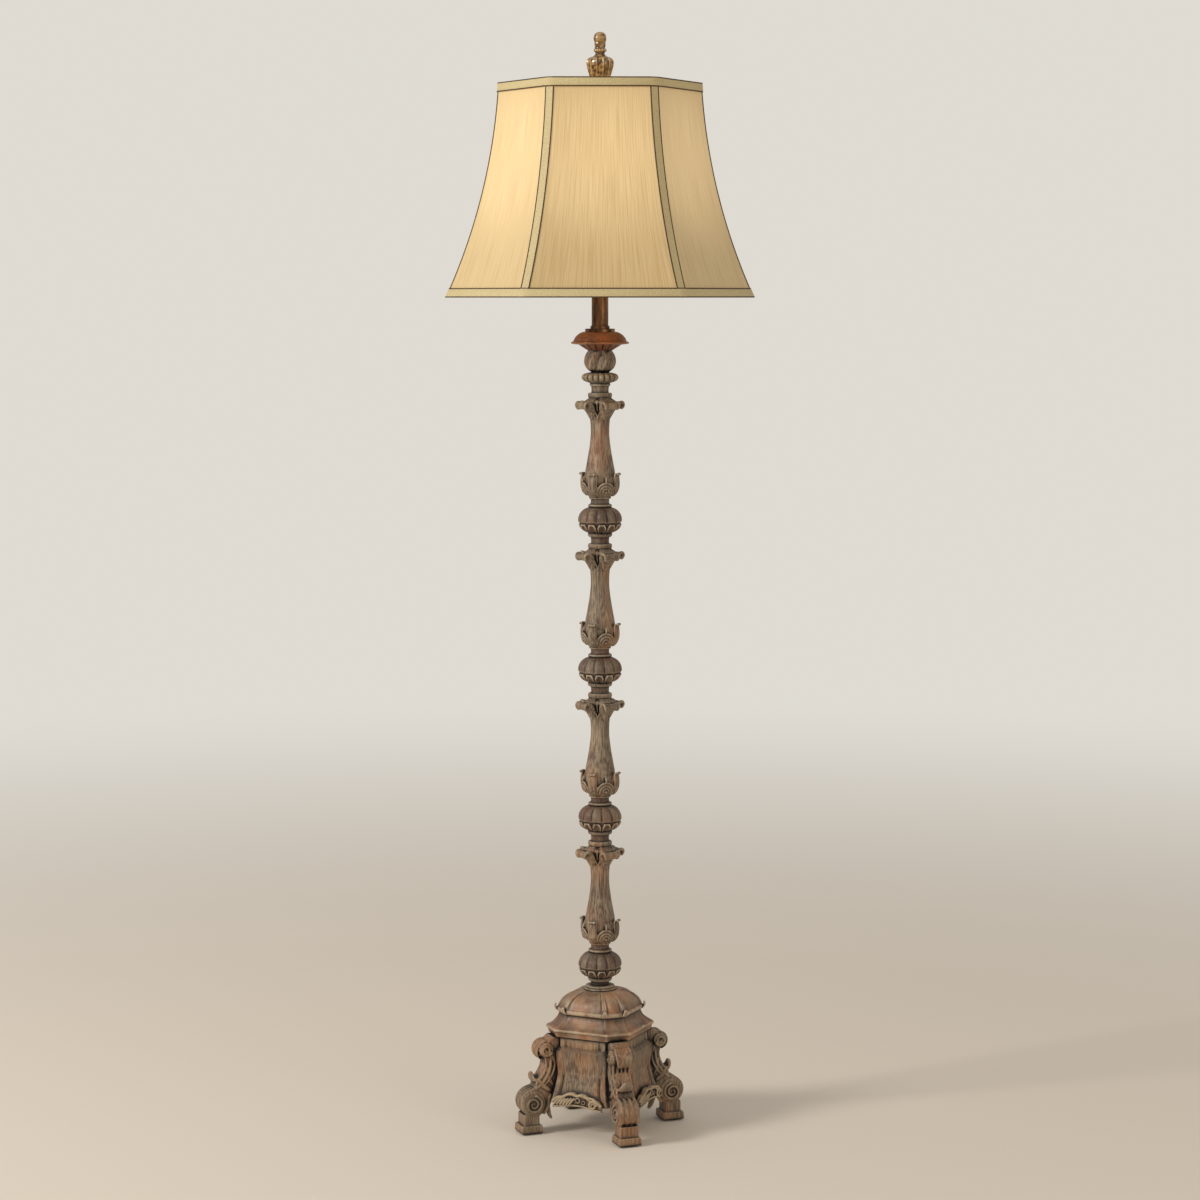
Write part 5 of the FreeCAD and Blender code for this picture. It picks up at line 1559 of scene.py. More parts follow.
@dataclass
class Pedestal:
    """Flared hollow die with a carved skirt along the foot of each broad face."""

    finish: bpy.types.Material
    foot: Ring = Ring(50.0, 78.0, 45.0)
    top: Ring = Ring(149.0, 62.0, 37.0)
    wall: float = 8.0
    broad: int = 24
    narrow: int = 12
    skirt_face: float = 80.6
    skirt_thick: float = 6.0

    def _die(self) -> bpy.types.Object:
        """The hollow die, raised from the roof of its cavity down and up again outside."""
        inner_top = Ring(self.top.up - self.wall, self.top.half - self.wall, self.top.edge - 3.3)
        inner_foot = Ring(self.foot.up, self.foot.half - self.wall, self.foot.edge - 3.3)
        rings = [inner_top] + graded(
            inner_foot, inner_top, [row for row in reversed(FLARE) if row[0] < 1]
        )
        first = len(rings)
        rings += graded(self.foot, self.top, [(rise, 1 - share) for rise, share in FLARE])
        stack = SquareStack("die", rings, self.broad, self.narrow)

        def scored(broad: bool, share: float, rise: float) -> float:
            """A groove beside each arris, and flutes down the chamfers."""
            aside = abs(share)
            if broad:
                return -2.4 if 0.72 < aside < 0.82 else 0.6 if aside > 0.82 else 0.0
            return -2.2 * abs(math.sin(2 * math.pi * share)) + 0.5

        stack.carve(first + 1, len(rings) - 2, scored)
        return stack.finish()

    def _strand(
        self, name: str, line: Sequence[tuple[float, float]], thick: Sequence[float], proud: float,
    ) -> bpy.types.Object:
        """A round moulding on the face of the skirt, along (across, up) points."""
        face = -self.skirt_face - self.skirt_thick / 2 - proud
        return cord_of(name, [(across, face, up) for across, up in line], thick)

    def _scroll(
        self, name: str, across: float, up: float, radius: float, turns: float, hand: int,
    ) -> bpy.types.Object:
        """A spiral on the skirt that winds in from a start at its right or left."""
        line, thick = [], []
        steps = round(turns * 10)
        for step in range(steps + 1):
            share = step / steps
            angle = 2 * math.pi * turns * share
            reach = radius * (1 - 0.78 * share)
            line.append((across + hand * reach * math.cos(angle), up + reach * math.sin(angle)))
            thick.append(2.9 - 1.1 * share)
        return self._strand(name, line, thick, 0.6)

    def _rosette(self, across: float, up: float, radius: float) -> bpy.types.Object:
        """A small drilled flower on the skirt."""
        lathe = Lathe("rosette", 32, (
            (radius * 0.7, 0), (radius, 1.0), (radius * 0.95, 2.6), (radius * 0.55, 3.4),
            (radius * 0.4, 2.2), (radius * 0.3, 1.4),
        ))
        lathe.carve(0, 3, 8, lambda share, rise: -0.5 if abs(share) > 0.34 else 0.2)
        flower = lathe.finish(1)
        flower.rotation_euler = (math.radians(90), 0, 0)
        flower.location = metres((across, -self.skirt_face - self.skirt_thick / 2 + 0.8, up))
        hold(flower)
        bpy.ops.object.transform_apply(location=True, rotation=True, scale=True)
        return flower

    def _skirt(self) -> bpy.types.Object:
        """The skirt of one face: a wavy board with a swag, rosettes and scrolls on it."""
        edge = self.foot.edge - 5
        crest = [
            (edge, 44.5), (edge, 55.0), (edge - 5, 60.5), (edge - 11, 62.0), (edge - 16, 60.5),
            (edge - 20, 64.5), (edge - 27, 68.5), (edge - 34, 69.5), (edge - 40, 67.0),
            (-6, 70.0), (-14, 69.5), (-20, 66.0), (-25, 63.0), (-30, 63.5), (-35, 61.0),
            (-edge, 56.0), (-edge, 44.5), (-24, 47.0), (-12, 49.0), (0, 49.6), (12, 49.0),
            (24, 47.0),
        ]
        parts = [placed(
            sawn("skirt", crest, self.skirt_thick, 1.2), shift=(0, -self.skirt_face, 0)
        )]
        parts.append(self._strand(
            "crest", [(across, up - 1.8) for across, up in crest[1:16]], [2.4] * 15, 0.4,
        ))
        parts.append(self._strand(
            "hem", [(across, up + 1.8) for across, up in crest[16:]] + [(edge, 46.3)],
            [1.8] * 7, 0.2,
        ))
        for number in range(6):
            low = -38 + number * 5.2
            parts.append(self._strand(
                f"flute_{number}",
                ((low, 49.6 + number * 0.3), (low + 3.5, 55.0 + number * 0.6),
                 (low + 9.5, 60.5 + number * 0.4)),
                (2.0, 2.8, 1.8), 0.7,
            ))
        parts.append(self._rosette(2.0, 59.5, 5.2))
        parts.append(self._rosette(11.5, 57.0, 4.0))
        parts.append(self._scroll("scroll_low", 27.0, 54.5, 7.4, 1.6, 1))
        parts.append(self._strand(
            "tendril", ((34.5, 55.0), (31.0, 63.0), (22.0, 64.5), (12.5, 65.0), (5.0, 66.2)),
            (1.6, 2.0, 2.2, 2.0, 1.2), 0.6,
        ))
        return joined("skirt", parts)

    def build(self) -> None:
        """Raise the die, hang its skirts and dress it."""
        parts = [self._die()]
        first = self._skirt()
        parts.append(first)
        parts += [copied(first, f"skirt_{number}", turn=90 * number) for number in (1, 2, 3)]
        pedestal = shade(joined("carved_base_pedestal", parts), 35)
        dressed(pedestal, Body.STAND, self.finish)


@dataclass
class ScrollLeg:
    """Scroll leg with a volute under the cornice, a leafy back and a block for a foot."""

    finish: bpy.types.Material
    azimuth: float = 45.0
    width: float = 32.0
    grain: float = 0.95

    def _roll(
        self, name: str, out: float, up: float, rings: Sequence[tuple[float, float]],
    ) -> bpy.types.Object:
        """A roll that lies across the leg, turned from (radius, place across) pairs."""
        lathe = Lathe(name, 36, rings)
        roll = lathe.finish(1)
        roll.rotation_euler = (math.radians(90), 0, 0)
        roll.location = metres((out, 0, up))
        hold(roll)
        bpy.ops.object.transform_apply(location=True, rotation=True, scale=True)
        return roll

    def _spiral(
        self, name: str, out: float, up: float, radius: float, turns: float, face: float,
        start: float,
    ) -> bpy.types.Object:
        """A raised spiral on the side of a scroll."""
        line, thick = [], []
        steps = round(turns * 12)
        for step in range(steps + 1):
            share = step / steps
            angle = math.radians(start) + 2 * math.pi * turns * share
            reach = radius * (1 - 0.8 * share)
            line.append((out + reach * math.cos(angle), face, up + reach * math.sin(angle)))
            thick.append(2.4 - 0.8 * share)
        return cord_of(name, line, thick)

    def _spine(self) -> bpy.types.Object:
        """The S-shaped board from the volute down to the block."""
        return sawn("spine", (
            (81.5, 148.6), (92.0, 140.0), (99.0, 137.0), (102.6, 129.0), (99.0, 121.5),
            (93.0, 117.5), (90.4, 113.0), (90.0, 106.0), (92.0, 98.0), (96.0, 90.5),
            (101.0, 84.0), (107.0, 78.5), (109.5, 72.0), (112.0, 69.0), (121.0, 66.8),
            (128.0, 61.0), (131.6, 53.0), (131.0, 44.0), (127.0, 36.0), (120.0, 30.0),
            (112.0, 26.8), (104.0, 26.5), (98.4, 30.0), (90.6, 38.0), (84.0, 46.0),
            (79.4, 55.0), (74.6, 66.0), (72.2, 78.0), (70.0, 92.0), (69.2, 106.0),
            (68.8, 120.0), (68.6, 134.0), (68.0, 148.6),
        ), self.width - 4, 2.2)

    def _ridges(self) -> list[bpy.types.Object]:
        """Long ridges down the back of the leg and over the foot scroll."""
        ridges = []
        flank = (
            (85.6, 126.0), (85.0, 117.0), (84.6, 108.0), (85.6, 100.0), (88.6, 92.0),
            (93.4, 84.0), (99.0, 77.0), (106.0, 71.0),
        )
        for side in (-14.6, 14.6):
            for shift in (0.0, -6.4):
                ridges.append(cord_of(
                    f"flank_{side}_{shift}", [(out + shift, side, up) for out, up in flank],
                    (1.2, 1.8, 2.2, 2.4, 2.4, 2.2, 1.8, 1.2),
                ))
        back = (
            (93.0, 117.0), (90.9, 111.0), (91.0, 104.0), (93.2, 96.5), (97.2, 89.5),
            (102.4, 83.0), (108.0, 77.0),
        )
        for number, side in enumerate((-12.6, -6.4, 0.0, 6.4, 12.6)):
            thick = 2.6 if number % 2 else 2.1
            ridges.append(cord_of(
                f"back_{number}", [(out, side, up) for out, up in back],
                [thick * share for share in (0.7, 0.9, 1.0, 1.0, 1.0, 0.9, 0.7)],
            ))
        over = (
            (106.0, 70.0), (112.0, 69.2), (120.4, 66.6), (127.2, 60.8), (131.0, 53.0),
            (130.6, 44.4), (126.8, 36.6), (120.0, 30.4),
        )
        for number, side in enumerate((-12.0, -4.0, 4.0, 12.0)):
            ridges.append(cord_of(
                f"over_{number}", [(out - 0.6, side, up) for out, up in over], [2.5] * 8
            ))
        return ridges

    def _leaves(self) -> list[bpy.types.Object]:
        """The leaf tip that flicks out, the tongue on the volute and the drooping inner leaf."""
        tip = leaf("tip", (
            Station(90.0, 106.0, 9.0, 1.0), Station(92.4, 96.0, 12.0, 1.6),
            Station(97.4, 86.4, 14.0, 2.0), Station(104.0, 80.8, 14.0, 2.2),
            Station(110.0, 82.0, 11.4, 1.8), Station(112.8, 88.0, 7.0, 1.2),
            Station(112.6, 95.0, 2.4, 0.4),
        ), 6.0, 2, 1.8)
        tongue = leaf("tongue", (
            Station(84.0, 139.6, 10.0, 1.0), Station(91.0, 141.4, 12.0, 1.6),
            Station(98.0, 139.6, 13.4, 2.2), Station(103.4, 134.0, 13.8, 2.6),
            Station(105.4, 126.6, 12.8, 2.6), Station(103.6, 119.6, 10.8, 2.2),
            Station(99.4, 115.4, 8.0, 1.4), Station(95.4, 114.6, 4.6, 0.4),
        ), 3.6, 3, 2.2)
        droop = leaf("droop", (
            Station(97.0, 62.0, 5.0, 0.6), Station(91.0, 55.0, 8.6, 1.4),
            Station(87.4, 46.0, 10.6, 1.8), Station(85.4, 37.0, 10.4, 1.8),
            Station(84.0, 29.0, 8.0, 1.4), Station(81.4, 22.4, 4.8, 0.8),
            Station(78.0, 18.6, 1.6, 0.2),
        ), 4.0, 2, 1.1)
        return [tip, tongue, droop]

    def _sprays(self) -> list[bpy.types.Object]:
        """Curled leaf blades on one side of the leg, where it leaves the scroll."""
        sprays = []
        for number, (line, thick) in enumerate((
            (((84.0, 66.0), (92.0, 70.0), (99.0, 77.0), (104.0, 86.0)), (3.0, 4.4, 3.6, 1.4)),
            (((80.0, 74.0), (85.6, 80.0), (89.0, 90.0), (90.0, 101.0)), (2.4, 3.4, 2.8, 1.4)),
            (((84.0, 60.0), (88.0, 48.0), (90.6, 38.0), (96.0, 30.0)), (3.0, 4.0, 3.2, 1.6)),
            (((76.0, 104.0), (80.0, 114.0), (84.4, 124.0), (86.0, 136.0)), (2.4, 3.2, 3.0, 2.0)),
        )):
            sprays.append(cord_of(
                f"spray_{number}", [(out, 13.4, up) for out, up in line], thick
            ))
        return sprays

    def _block(self) -> list[bpy.types.Object]:
        """The stepped foot block with its flared plinth."""
        step = Blank.block("step", (25.0, 29.0, 18.0), (115.0, 0, 22.0))
        step.pick_all()
        step.bevel(0.9, 2)
        plinth = Blank.block("plinth", (34.0, 36.0, 12.0), (115.0, 0, 8.0))
        plinth.pick(lambda x, y, z: z > 12)
        plinth.scale((0.96, 0.96, 1), (115.0, 0, 14.0))
        plinth.pick_all()
        plinth.bevel(0.9, 2)
        return [outward(step.finish()), outward(plinth.finish())]

    def build(self) -> list[bpy.types.Object]:
        """Carve one leg and copy it to the other three corners.

        Returns:
            The legs.
        """
        half = self.width / 2
        parts = [self._spine()] + self._ridges() + self._leaves() + self._block()
        parts.append(self._roll("volute", 92.0, 129.0, (
            (9.4, -half - 2.0), (11.0, -half - 1.0), (11.2, -half + 2), (10.2, -6.0), (10.6, 0.0),
            (10.2, 6.0), (11.2, half - 2), (11.0, half + 1.0), (9.4, half + 2.0),
        )))
        parts.append(self._roll("scroll", 112.0, 48.5, (
            (17.4, -half), (19.4, -half + 1.6), (19.6, 0.0), (19.4, half - 1.6), (17.4, half),
        )))
        for side in (-1, 1):
            face = side * half
            parts.append(self._spiral(
                f"eye_{side}", 112.5, 46.5, 14.2, 1.9, face + side * 0.6, 100,
            ))
            parts.append(self._spiral(
                f"curl_{side}", 92.0, 129.0, 8.8, 1.5, face + side * 2.2, 200,
            ))
        for spray in self._sprays():
            parts += [spray, mirrored(spray, spray.name + "_b")]
        leg = shade(recast(joined("carved_scroll_leg_1", parts), self.grain), 60)
        placed(leg, turn=self.azimuth)
        legs = [leg] + [
            copied(leg, f"carved_scroll_leg_{number}", turn=90 * (number - 1))
            for number in (2, 3, 4)
        ]
        for piece in legs:
            dressed(piece, Body.STAND, self.finish)
        return legs


# ------------------------------------------------------------------ shade


@dataclass
class Shade:
    """Six-sided bell shade of silk panels with corner seams, two bands and piping."""

    silk: Sequence[bpy.types.Material]
    braid: bpy.types.Material
    piping: bpy.types.Material
    foot: float = 1261.6
    height: float = 315.0
    foot_corner: float = 228.5
    top_corner: float = 149.5
    hollow: float = 15.1
    azimuth: float = 26.0
    panels: int = 6
    seam: float = 12.5
    band: float = 12.7
    thick: float = 1.0
    rows: int = 40
    columns: int = 24

    def corner(self, height: float) -> float:
        """Distance of a corner seam's face from the axis at a height above the foot."""
        spread = self.foot_corner - self.top_corner
        chord = math.hypot(self.height, spread)
        bulge = self.hollow / chord
        radius = chord * (1 / (8 * bulge) + bulge / 2)
        reach = radius - self.hollow
        across = self.foot_corner - spread / 2 + reach * self.height / chord
        up = self.height / 2 + reach * spread / chord
        return across - math.sqrt(radius ** 2 - (height - up) ** 2)

    def face(self, height: float) -> tuple[float, float]:
        """Apothem and half width of a panel at a height above the foot."""
        half_angle = math.pi / self.panels
        point = self.corner(height) + self.seam / 2 * math.tan(half_angle)
        apothem = point * math.cos(half_angle)
        return apothem, apothem * math.tan(half_angle) - self.seam / (2 * math.cos(half_angle))

    def _strip(
        self, name: str, rows: int, columns: int, low: float, high: float, turn: float,
        lay: Callable[[float], tuple[float, float]], thick: float,
    ) -> bpy.types.Object:
        """A strip of the bell's skin, laid row by row.

        Args:
            name: Name of the strip.
            rows: Steps up the strip.
            columns: Steps across it.
            low: Height of its foot above the shade's foot.
            high: Height of its top.
            turn: Degrees that its middle lies at.
            lay: Called with a height; returns the distance from the axis and the half width.
            thick: Thickness.

        Returns:
            The strip.
        """
        blank = Blank.ribbon(name, rows, columns)
        for row in range(rows + 1):
            height = low + (high - low) * row / rows
            out, wide = lay(height)
            home = float(row)
            blank.pick(lambda x, y, z: abs(x - home) < 0.01 and abs(z) < 1)
            blank.scale((1, 2 * wide / columns, 1))
            blank.move((out - thick / 2 - home, 0, height + 1000))
        blank.pick_all()
        blank.move((0, 0, self.foot - 1000))
        piece = modify(blank.finish(), "SOLIDIFY", thickness=thick * MM, offset=0.0)
        return shade(outward(placed(piece, turn=turn)), 50)

    def _panels(self) -> None:
        """The silk panels, each a sheet stretched from foot to top."""
        step = 360 / self.panels
        for number in range(1, self.panels + 1):
            panel = self._strip(
                f"{CARVED}shade_panel_{number}", self.rows, self.columns, 0, self.height,
                self.azimuth + step * (number - 0.5), self.face, self.thick,
            )
            silk = self.silk[(number - 1) % len(self.silk)]
            dressed(panel, Body.SHADE, silk)

    def _hem(self, name: str, low: float, high: float) -> bpy.types.Object:
        """A braided band round the bell with a rounded section."""
        half_angle = math.pi / self.panels
        blank = Blank.loop(name, self.panels * 2, 1.0, 0.0)
        level = [(low, -0.4), (low, 1.3), (low + 1.6, 1.9), (high - 1.6, 1.9), (high, 1.3),
                 (high, -0.4)]
        mesh = bmesh.from_edit_mesh(blank.piece.data)
        homes = [tuple(point.co / MM) for point in mesh.verts]

        def corners(height: float, proud: float) -> list[tuple[float, float]]:
            """The twelve corners of the bell at a height, in order of angle."""
            apothem, wide = self.face(height)
            reach = (apothem + proud) / apothem
            places = []
            for side in range(self.panels):
                angle = math.radians(self.azimuth) + half_angle * (2 * side + 1)
                for swing in (-wide, wide):
                    places.append((
                        (apothem * math.cos(angle) - swing * math.sin(angle)) * reach,
                        (apothem * math.sin(angle) + swing * math.cos(angle)) * reach,
                    ))
            return sorted(places, key=lambda place: math.atan2(place[1], place[0]))

        order = sorted(range(len(homes)), key=lambda n: math.atan2(homes[n][1], homes[n][0]))
        height, proud = level[0]
        for number, (x, y) in zip(order, corners(height, proud)):
            blank.pick_at([number])
            blank.move((x - homes[number][0], y - homes[number][1], height))
        blank.pick_all()
        reach = math.hypot(*corners(height, proud)[0])
        for high_edge, stand in level[1:]:
            blank.extrude((0, 0, high_edge - height))
            wide = math.hypot(*corners(high_edge, stand)[0])
            blank.scale((wide / reach, wide / reach, 1), (0, 0, high_edge))
            height, reach = high_edge, wide
        piece = blank.finish()
        hold(piece)
        bpy.ops.object.mode_set(mode="EDIT")
        bpy.ops.mesh.select_all(action="DESELECT")
        bpy.ops.mesh.select_non_manifold()
        bpy.ops.mesh.bridge_edge_loops()
        bpy.ops.object.mode_set(mode="OBJECT")
        return shade(outward(placed(piece, up=self.foot)), 30)

    def _cords(self, name: str, edges: Sequence[float]) -> list[bpy.types.Object]:
        """Dark piping round the bell at some heights."""
        cords = []
        for number, height in enumerate(edges):
            apothem, wide = self.face(height)
            line = []
            for side in range(self.panels):
                angle = math.radians(self.azimuth) + math.pi / self.panels * (2 * side + 1)
                out = apothem + 1.5
                for swing in (-wide, wide):
                    line.append((
                        out * math.cos(angle) - swing * math.sin(angle),
                        out * math.sin(angle) + swing * math.cos(angle), self.foot + height,
                    ))
            cords.append(cord_of(f"{name}_{number}", line, [0.9] * len(line), True, False))
        return cords

    def _seams(self) -> tuple[list[bpy.types.Object], list[bpy.types.Object]]:
        """A flat tape over each corner, and the piping along both its sides."""
        tapes, cords = [], []
        half = self.seam / 2
        for number in range(self.panels):
            turn = self.azimuth + 360 / self.panels * number
            tapes.append(self._strip(
                f"tape_{number}", self.rows, 2, 0, self.height, turn,
                lambda height: (self.corner(height) + 0.5, half), 1.4,
            ))
            cos, sin = math.cos(math.radians(turn)), math.sin(math.radians(turn))
            for side in (-half, half):
                line = []
                for row in range(self.rows + 1):
                    height = self.height * row / self.rows
                    out = self.corner(height) + 0.1
                    line.append((
                        out * cos - side * sin, out * sin + side * cos, self.foot + height,
                    ))
                cords.append(cord_of(f"side_{number}", line, [1.0] * len(line)))
        return tapes, cords

    def build(self) -> None:
        """Make the panels, tapes, bands and piping, and dress them."""
        self._panels()
        tapes, cords = self._seams()
        seams = joined(f"{CARVED}corner_seams", tapes)
        dressed(seams, Body.SHADE, self.braid)
        top = self.height - self.band
        for node, low, high in (("foot_band", 0.0, self.band), ("top_band", top, self.height)):
            hem = self._hem(CARVED + node, low, high)
            dressed(hem, Body.SHADE, self.braid)
        cords += self._cords("round", (0.4, self.band, top, self.height - 0.4))
        piping = shade(joined("shade_piping", cords), 60)
        dressed(piping, Body.SHADE, self.piping)


@dataclass
class Finial:
    """Mottled resin finial: a lobed cone, a neck, a ring and a ball."""

    finish: bpy.types.Material
    foot: float = 1572.6
    lobes: int = 6

    def build(self) -> None:
        """Turn, carve and dress the finial."""
        lathe = Lathe(f"{CARVED}finial_body", self.lobes * 16, (
            (8.8, 0), (9.0, 0.4), (10.8, 2.6), (12.2, 5.2), (13.4, 8.0), (14.9, 12.0),
            (16.4, 17.0), (17.9, 22.0), (19.2, 27.0), (20.1, 31.6), (20.3, 35.0), (19.6, 37.8),
            (17.8, 39.8), (15.0, 41.2), (12.4, 42.2), (9.9, 43.4), (8.0, 44.8), (6.7, 46.6),
            (6.7, 48.4), (8.2, 49.8), (9.7, 51.0), (9.7, 53.0), (8.2, 54.2), (7.6, 55.4),
            (7.9, 57.4), (8.5, 59.8), (8.5, 62.4), (8.0, 63.4), (8.4, 64.4), (9.4, 67.0),
            (9.7, 69.8), (9.3, 73.0), (7.8, 76.0), (5.2, 78.0), (2.4, 78.8),
        ))

        def lobe(share: float, rise: float) -> float:
            """A hollowed petal between raised ribs, with a finer rib up its middle."""
            aside = abs(share)
            rib = 1.2 if aside > 0.43 else 0.7 if aside < 0.05 else -1.0
            return rib * min(1.0, 0.3 + rise)

        lathe.carve(2, 13, self.lobes, lobe, 9.0)
        lathe.carve(20, 21, 16, lambda share, rise: 0.3 if abs(share) < 0.3 else -0.3)
        finial = placed(lathe.finish(1, 60), up=self.foot)
        dressed(finial, Body.FINIAL, self.finish)


# ----------------------------------------------------------------- studio


@dataclass
class Studio:
    """Pale studio with a soft key from the left and a weak fill."""

    floor_size: float = 60.0
    eye: Point = (1.8804, -4.0883, 1.262)
    tilt: float = 84.244
    azimuth: float = 24.7
    lens: float = 90.18
    plain: int = 0xDFDBD3
    floor_colour: int = 0xE8DFD3
    world: float = 0.48

    def _camera(self) -> None:
        """Set the camera where the photograph was taken from."""
        deselect()
        bpy.ops.object.camera_add(
            location=self.eye, rotation=(math.radians(self.tilt), 0, math.radians(self.azimuth))
        )
        camera = bpy.context.object
        camera.data.lens = self.lens
        camera.data.sensor_width = 36
        bpy.context.scene.camera = camera

    def _floor(self) -> None:
        """A wide pale floor whose far part fades into the backdrop."""
        deselect()
        bpy.ops.mesh.primitive_circle_add(
            vertices=96, radius=self.floor_size / 2, fill_type="NGON"
        )
        floor = bpy.context.object
        floor.name = "studio_floor"
        finish = Finish("floor_paper")
        wires = finish.wiring
        finish.set(base_color=colour(self.floor_colour), roughness=0.85)
        coordinates = wires.add("ShaderNodeTexCoord", {}).outputs["Object"]
        away = wires.add("ShaderNodeVectorMath", {0: coordinates}, operation="LENGTH")
        far = wires.spread(away.outputs["Value"], 0.6, 5.0)
        seen = wires.add("ShaderNodeLightPath", {}).outputs["Is Camera Ray"]
        plain = wires.add("ShaderNodeEmission", {"Color": colour(self.plain), "Strength": 1.0})
        mixer = wires.add("ShaderNodeMixShader", {
            0: wires.math("MULTIPLY", far, seen), 1: finish.shader.outputs[0],
            2: plain.outputs[0],
        })
        output = finish.material.node_tree.nodes["Material Output"]
        wires.tree.links.new(mixer.outputs[0], output.inputs["Surface"])
        floor.data.materials.append(finish.material)

    def _world(self) -> None:
        """Even light all round, with a plain backdrop for the camera."""
        world = bpy.data.worlds.new("studio_world")
        world.use_nodes = True
        wires = Wiring(world.node_tree)
        backdrop = world.node_tree.nodes["Background"]
        backdrop.inputs["Color"].default_value = colour(self.plain)
        backdrop.inputs["Strength"].default_value = 1.0
        light = wires.add(
            "ShaderNodeBackground", {"Color": colour(0xFBF6EE), "Strength": self.world}
        )
        path = wires.add("ShaderNodeLightPath", {})
        seen = wires.math("ADD", path.outputs["Is Camera Ray"], path.outputs["Is Transmission Ray"])
        mixer = wires.add("ShaderNodeMixShader", {
            0: seen, 1: light.outputs[0], 2: backdrop.outputs[0],
        })
        output = world.node_tree.nodes["World Output"]
        wires.tree.links.new(mixer.outputs[0], output.inputs["Surface"])
        bpy.context.scene.world = world

    def _lamp(
        self, name: str, place: Point, aim: Point, size: float, power: float, tint: int
    ) -> None:
        """A large soft area light."""
        deselect()
        bpy.ops.object.light_add(type="AREA", location=place)
        lamp = bpy.context.object
        lamp.name = name
        lamp.data.size = size
        lamp.data.energy = power
        lamp.data.color = colour(tint)[:3]
        lamp.rotation_euler = (Vector(aim) - Vector(place)).to_track_quat("-Z", "Y").to_euler()

    def build(self) -> None:
        """Set up the camera, floor, backdrop and lights."""
        self._camera()
        self._floor()
        self._world()
        middle = (0.0, 0.0, 0.8)
        self._lamp("key_light", (-2.8, -3.4, 2.8), middle, 1.2, 140.0, 0xFFF8EE)
        self._lamp("fill_light", (3.2, -1.2, 1.4), middle, 1.8, 16.0, 0xFFE8C8)
        deselect()
        bpy.ops.object.light_add(type="POINT", location=(0, 0, 1.444))
        bulb = bpy.context.object
        bulb.name = "bulb_light"
        bulb.data.energy = 1.2
        bulb.data.shadow_soft_size = 0.03
        bulb.data.color = colour(0xFFD9A6)[:3]
        bpy.context.scene.view_settings.view_transform = "Standard"


# ------------------------------------------------------------------- lamp


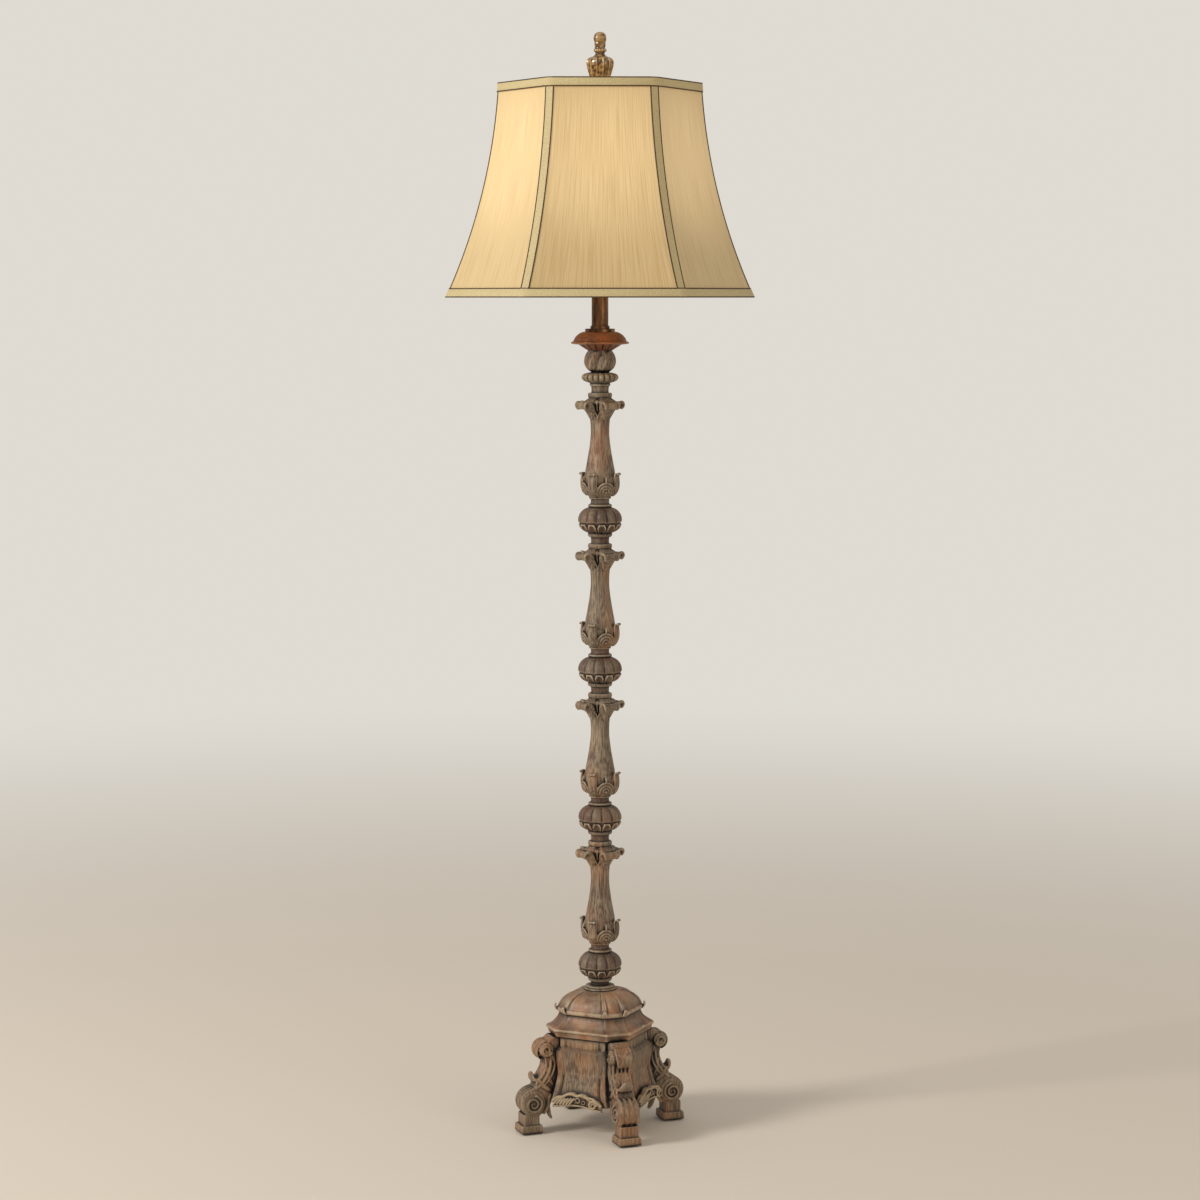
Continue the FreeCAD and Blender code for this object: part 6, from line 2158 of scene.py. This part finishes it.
def node_finishes(effects: Effects) -> dict[str, bpy.types.Material]:
    """Materials of the CAD nodes that keep their own mesh, by node name.

    Args:
        effects: The shared node groups.

    Returns:
        One material for each node.
    """
    steel = MetalFinish("zinc_plated_steel", 0xB9BAB8, 0x8E9090, rough=0.34).build(effects)
    iron = MetalFinish("cast_iron", 0x4A4846, 0x33312F, 0.6, 0.62, 60.0, 1.0).build(effects)
    bronze = MetalFinish(
        "antique_bronze", 0xA3764A, 0x3E2617, 0.85, 0.26, 60.0, 0.25, 0.3
    ).build(effects)
    brass = MetalFinish("lamp_brass", 0xC9A45C, 0x9A7A3E, rough=0.28).build(effects)
    wire = MetalFinish("painted_wire", 0xD8CDB4, 0xBFB397, 0.1, 0.45).build(effects)
    shell = MetalFinish("bulb_shell_metal", 0xCFCFCB, 0xA9A9A4, rough=0.3).build(effects)
    rubber = MottledFinish("black_rubber", 0x211F1E, 0x151413, 0.6, 300.0).build(effects)
    card = MottledFinish("liner_card", 0xC3A67E, 0x9B7F5A, 0.8, 400.0).build(effects)
    phenolic = MottledFinish(
        "black_phenolic", 0x1C1817, 0x0F0D0C, 0.35, 200.0, coat=0.3,
    ).build(effects)
    felt = MottledFinish("grey_felt", 0x5A5450, 0x3A3532, 0.95, 700.0, 0.5).build(effects)
    glass = BulbGlass().build(effects)
    groups = (
        (steel, ("base_plate", "leg_screws", "tie_washer", "tie_nut", "tube_lower",
                 "tube_middle", "tube_upper", "tube_couplings")),
        (iron, ("base_weight",)),
        (bronze, ("check_ring", "neck_tube", "neck_cap", "harp_saddle", "saddle_nut")),
        (brass, ("socket_cap", "socket_shell", "screw_shell", "centre_contact", "harp_bow",
                 "harp_stud", "harp_sleeve_left", "harp_sleeve_right", "finial_insert")),
        (wire, ("shade_frame", "shade_spider")),
        (shell, ("bulb_cap",)),
        (rubber, ("cable_grommet",)),
        (card, ("socket_liner",)),
        (phenolic, ("switch_key", "socket_core")),
        (felt, ("foot_felts",)),
        (glass, ("bulb_glass",)),
    )
    return {node: material for material, nodes in groups for node in nodes}


def main() -> None:
    """Dress the frame and light it."""
    logging.basicConfig(level=logging.INFO, format="%(message)s")
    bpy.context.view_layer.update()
    effects = Effects.built()
    for node, material in node_finishes(effects).items():
        for place in bpy.data.objects[node].material_slots:
            place.material = material
    carved = CarvedFinish("carved_column", streaks=0.42).build(effects)
    knops = CarvedFinish(
        "carved_knops", ground=0x402820, warm=0x643A26, warmth=0.7, streaks=0.15, wash_and_highlight=0.9,
    ).build(effects)
    base = CarvedFinish(
        "carved_base", ground=0x5A4638, warm=0x8A5733, wash=0xC2AF90, wash_and_highlight=0.65, streaks=0.42,
        reach=0.01,
    ).build(effects)
    cap = CarvedFinish(
        "carved_cap", ground=0x6C4C38, warm=0x9A6642, warmth=0.95, wash_and_highlight=1.0, streaks=0.2,
        fineness=70.0, reach=0.01,
    ).build(effects)
    pan = CarvedFinish(
        "glazed_pan", ground=0x5E2C1C, warm=0x96502A, wash=0xC08A58, wash_and_highlight=0.6, streaks=0.25,
        rough=0.28,
    ).build(effects)
    resin = MottledFinish(
        "gold_mottled_resin", 0xB8955C, 0x4A2A16, 0.22, 190.0, coat=0.6, relief=True
    ).build(effects)
    silks = [
        SilkFinish(f"silk_{number}", cloth, slub, 0xFFDCA4).build(effects)
        for number, (cloth, slub) in enumerate((
            (0xDFC898, 0xD2B682), (0xDCC494, 0xCDB07C), (0xE1CB9C, 0xD4B986),
        ))
    ]
    braid = MottledFinish("olive_gold_braid", 0xD9CB9E, 0xBFAE80, 0.6, 900.0).build(effects)
    piping = MottledFinish("brown_piping", 0x5B4229, 0x3E2B1A, 0.6, 700.0).build(effects)
    Pedestal(base).build()
    ScrollLeg(base).build()
    BaseCap(cap).build()
    Knop(knops).build()
    Baluster(carved).build()
    ColumnTop(carved, pan).build()
    Shade(silks, braid, piping).build()
    Finial(resin).build()
    Studio().build()
    deselect()


if __name__ == "__main__":
    main()
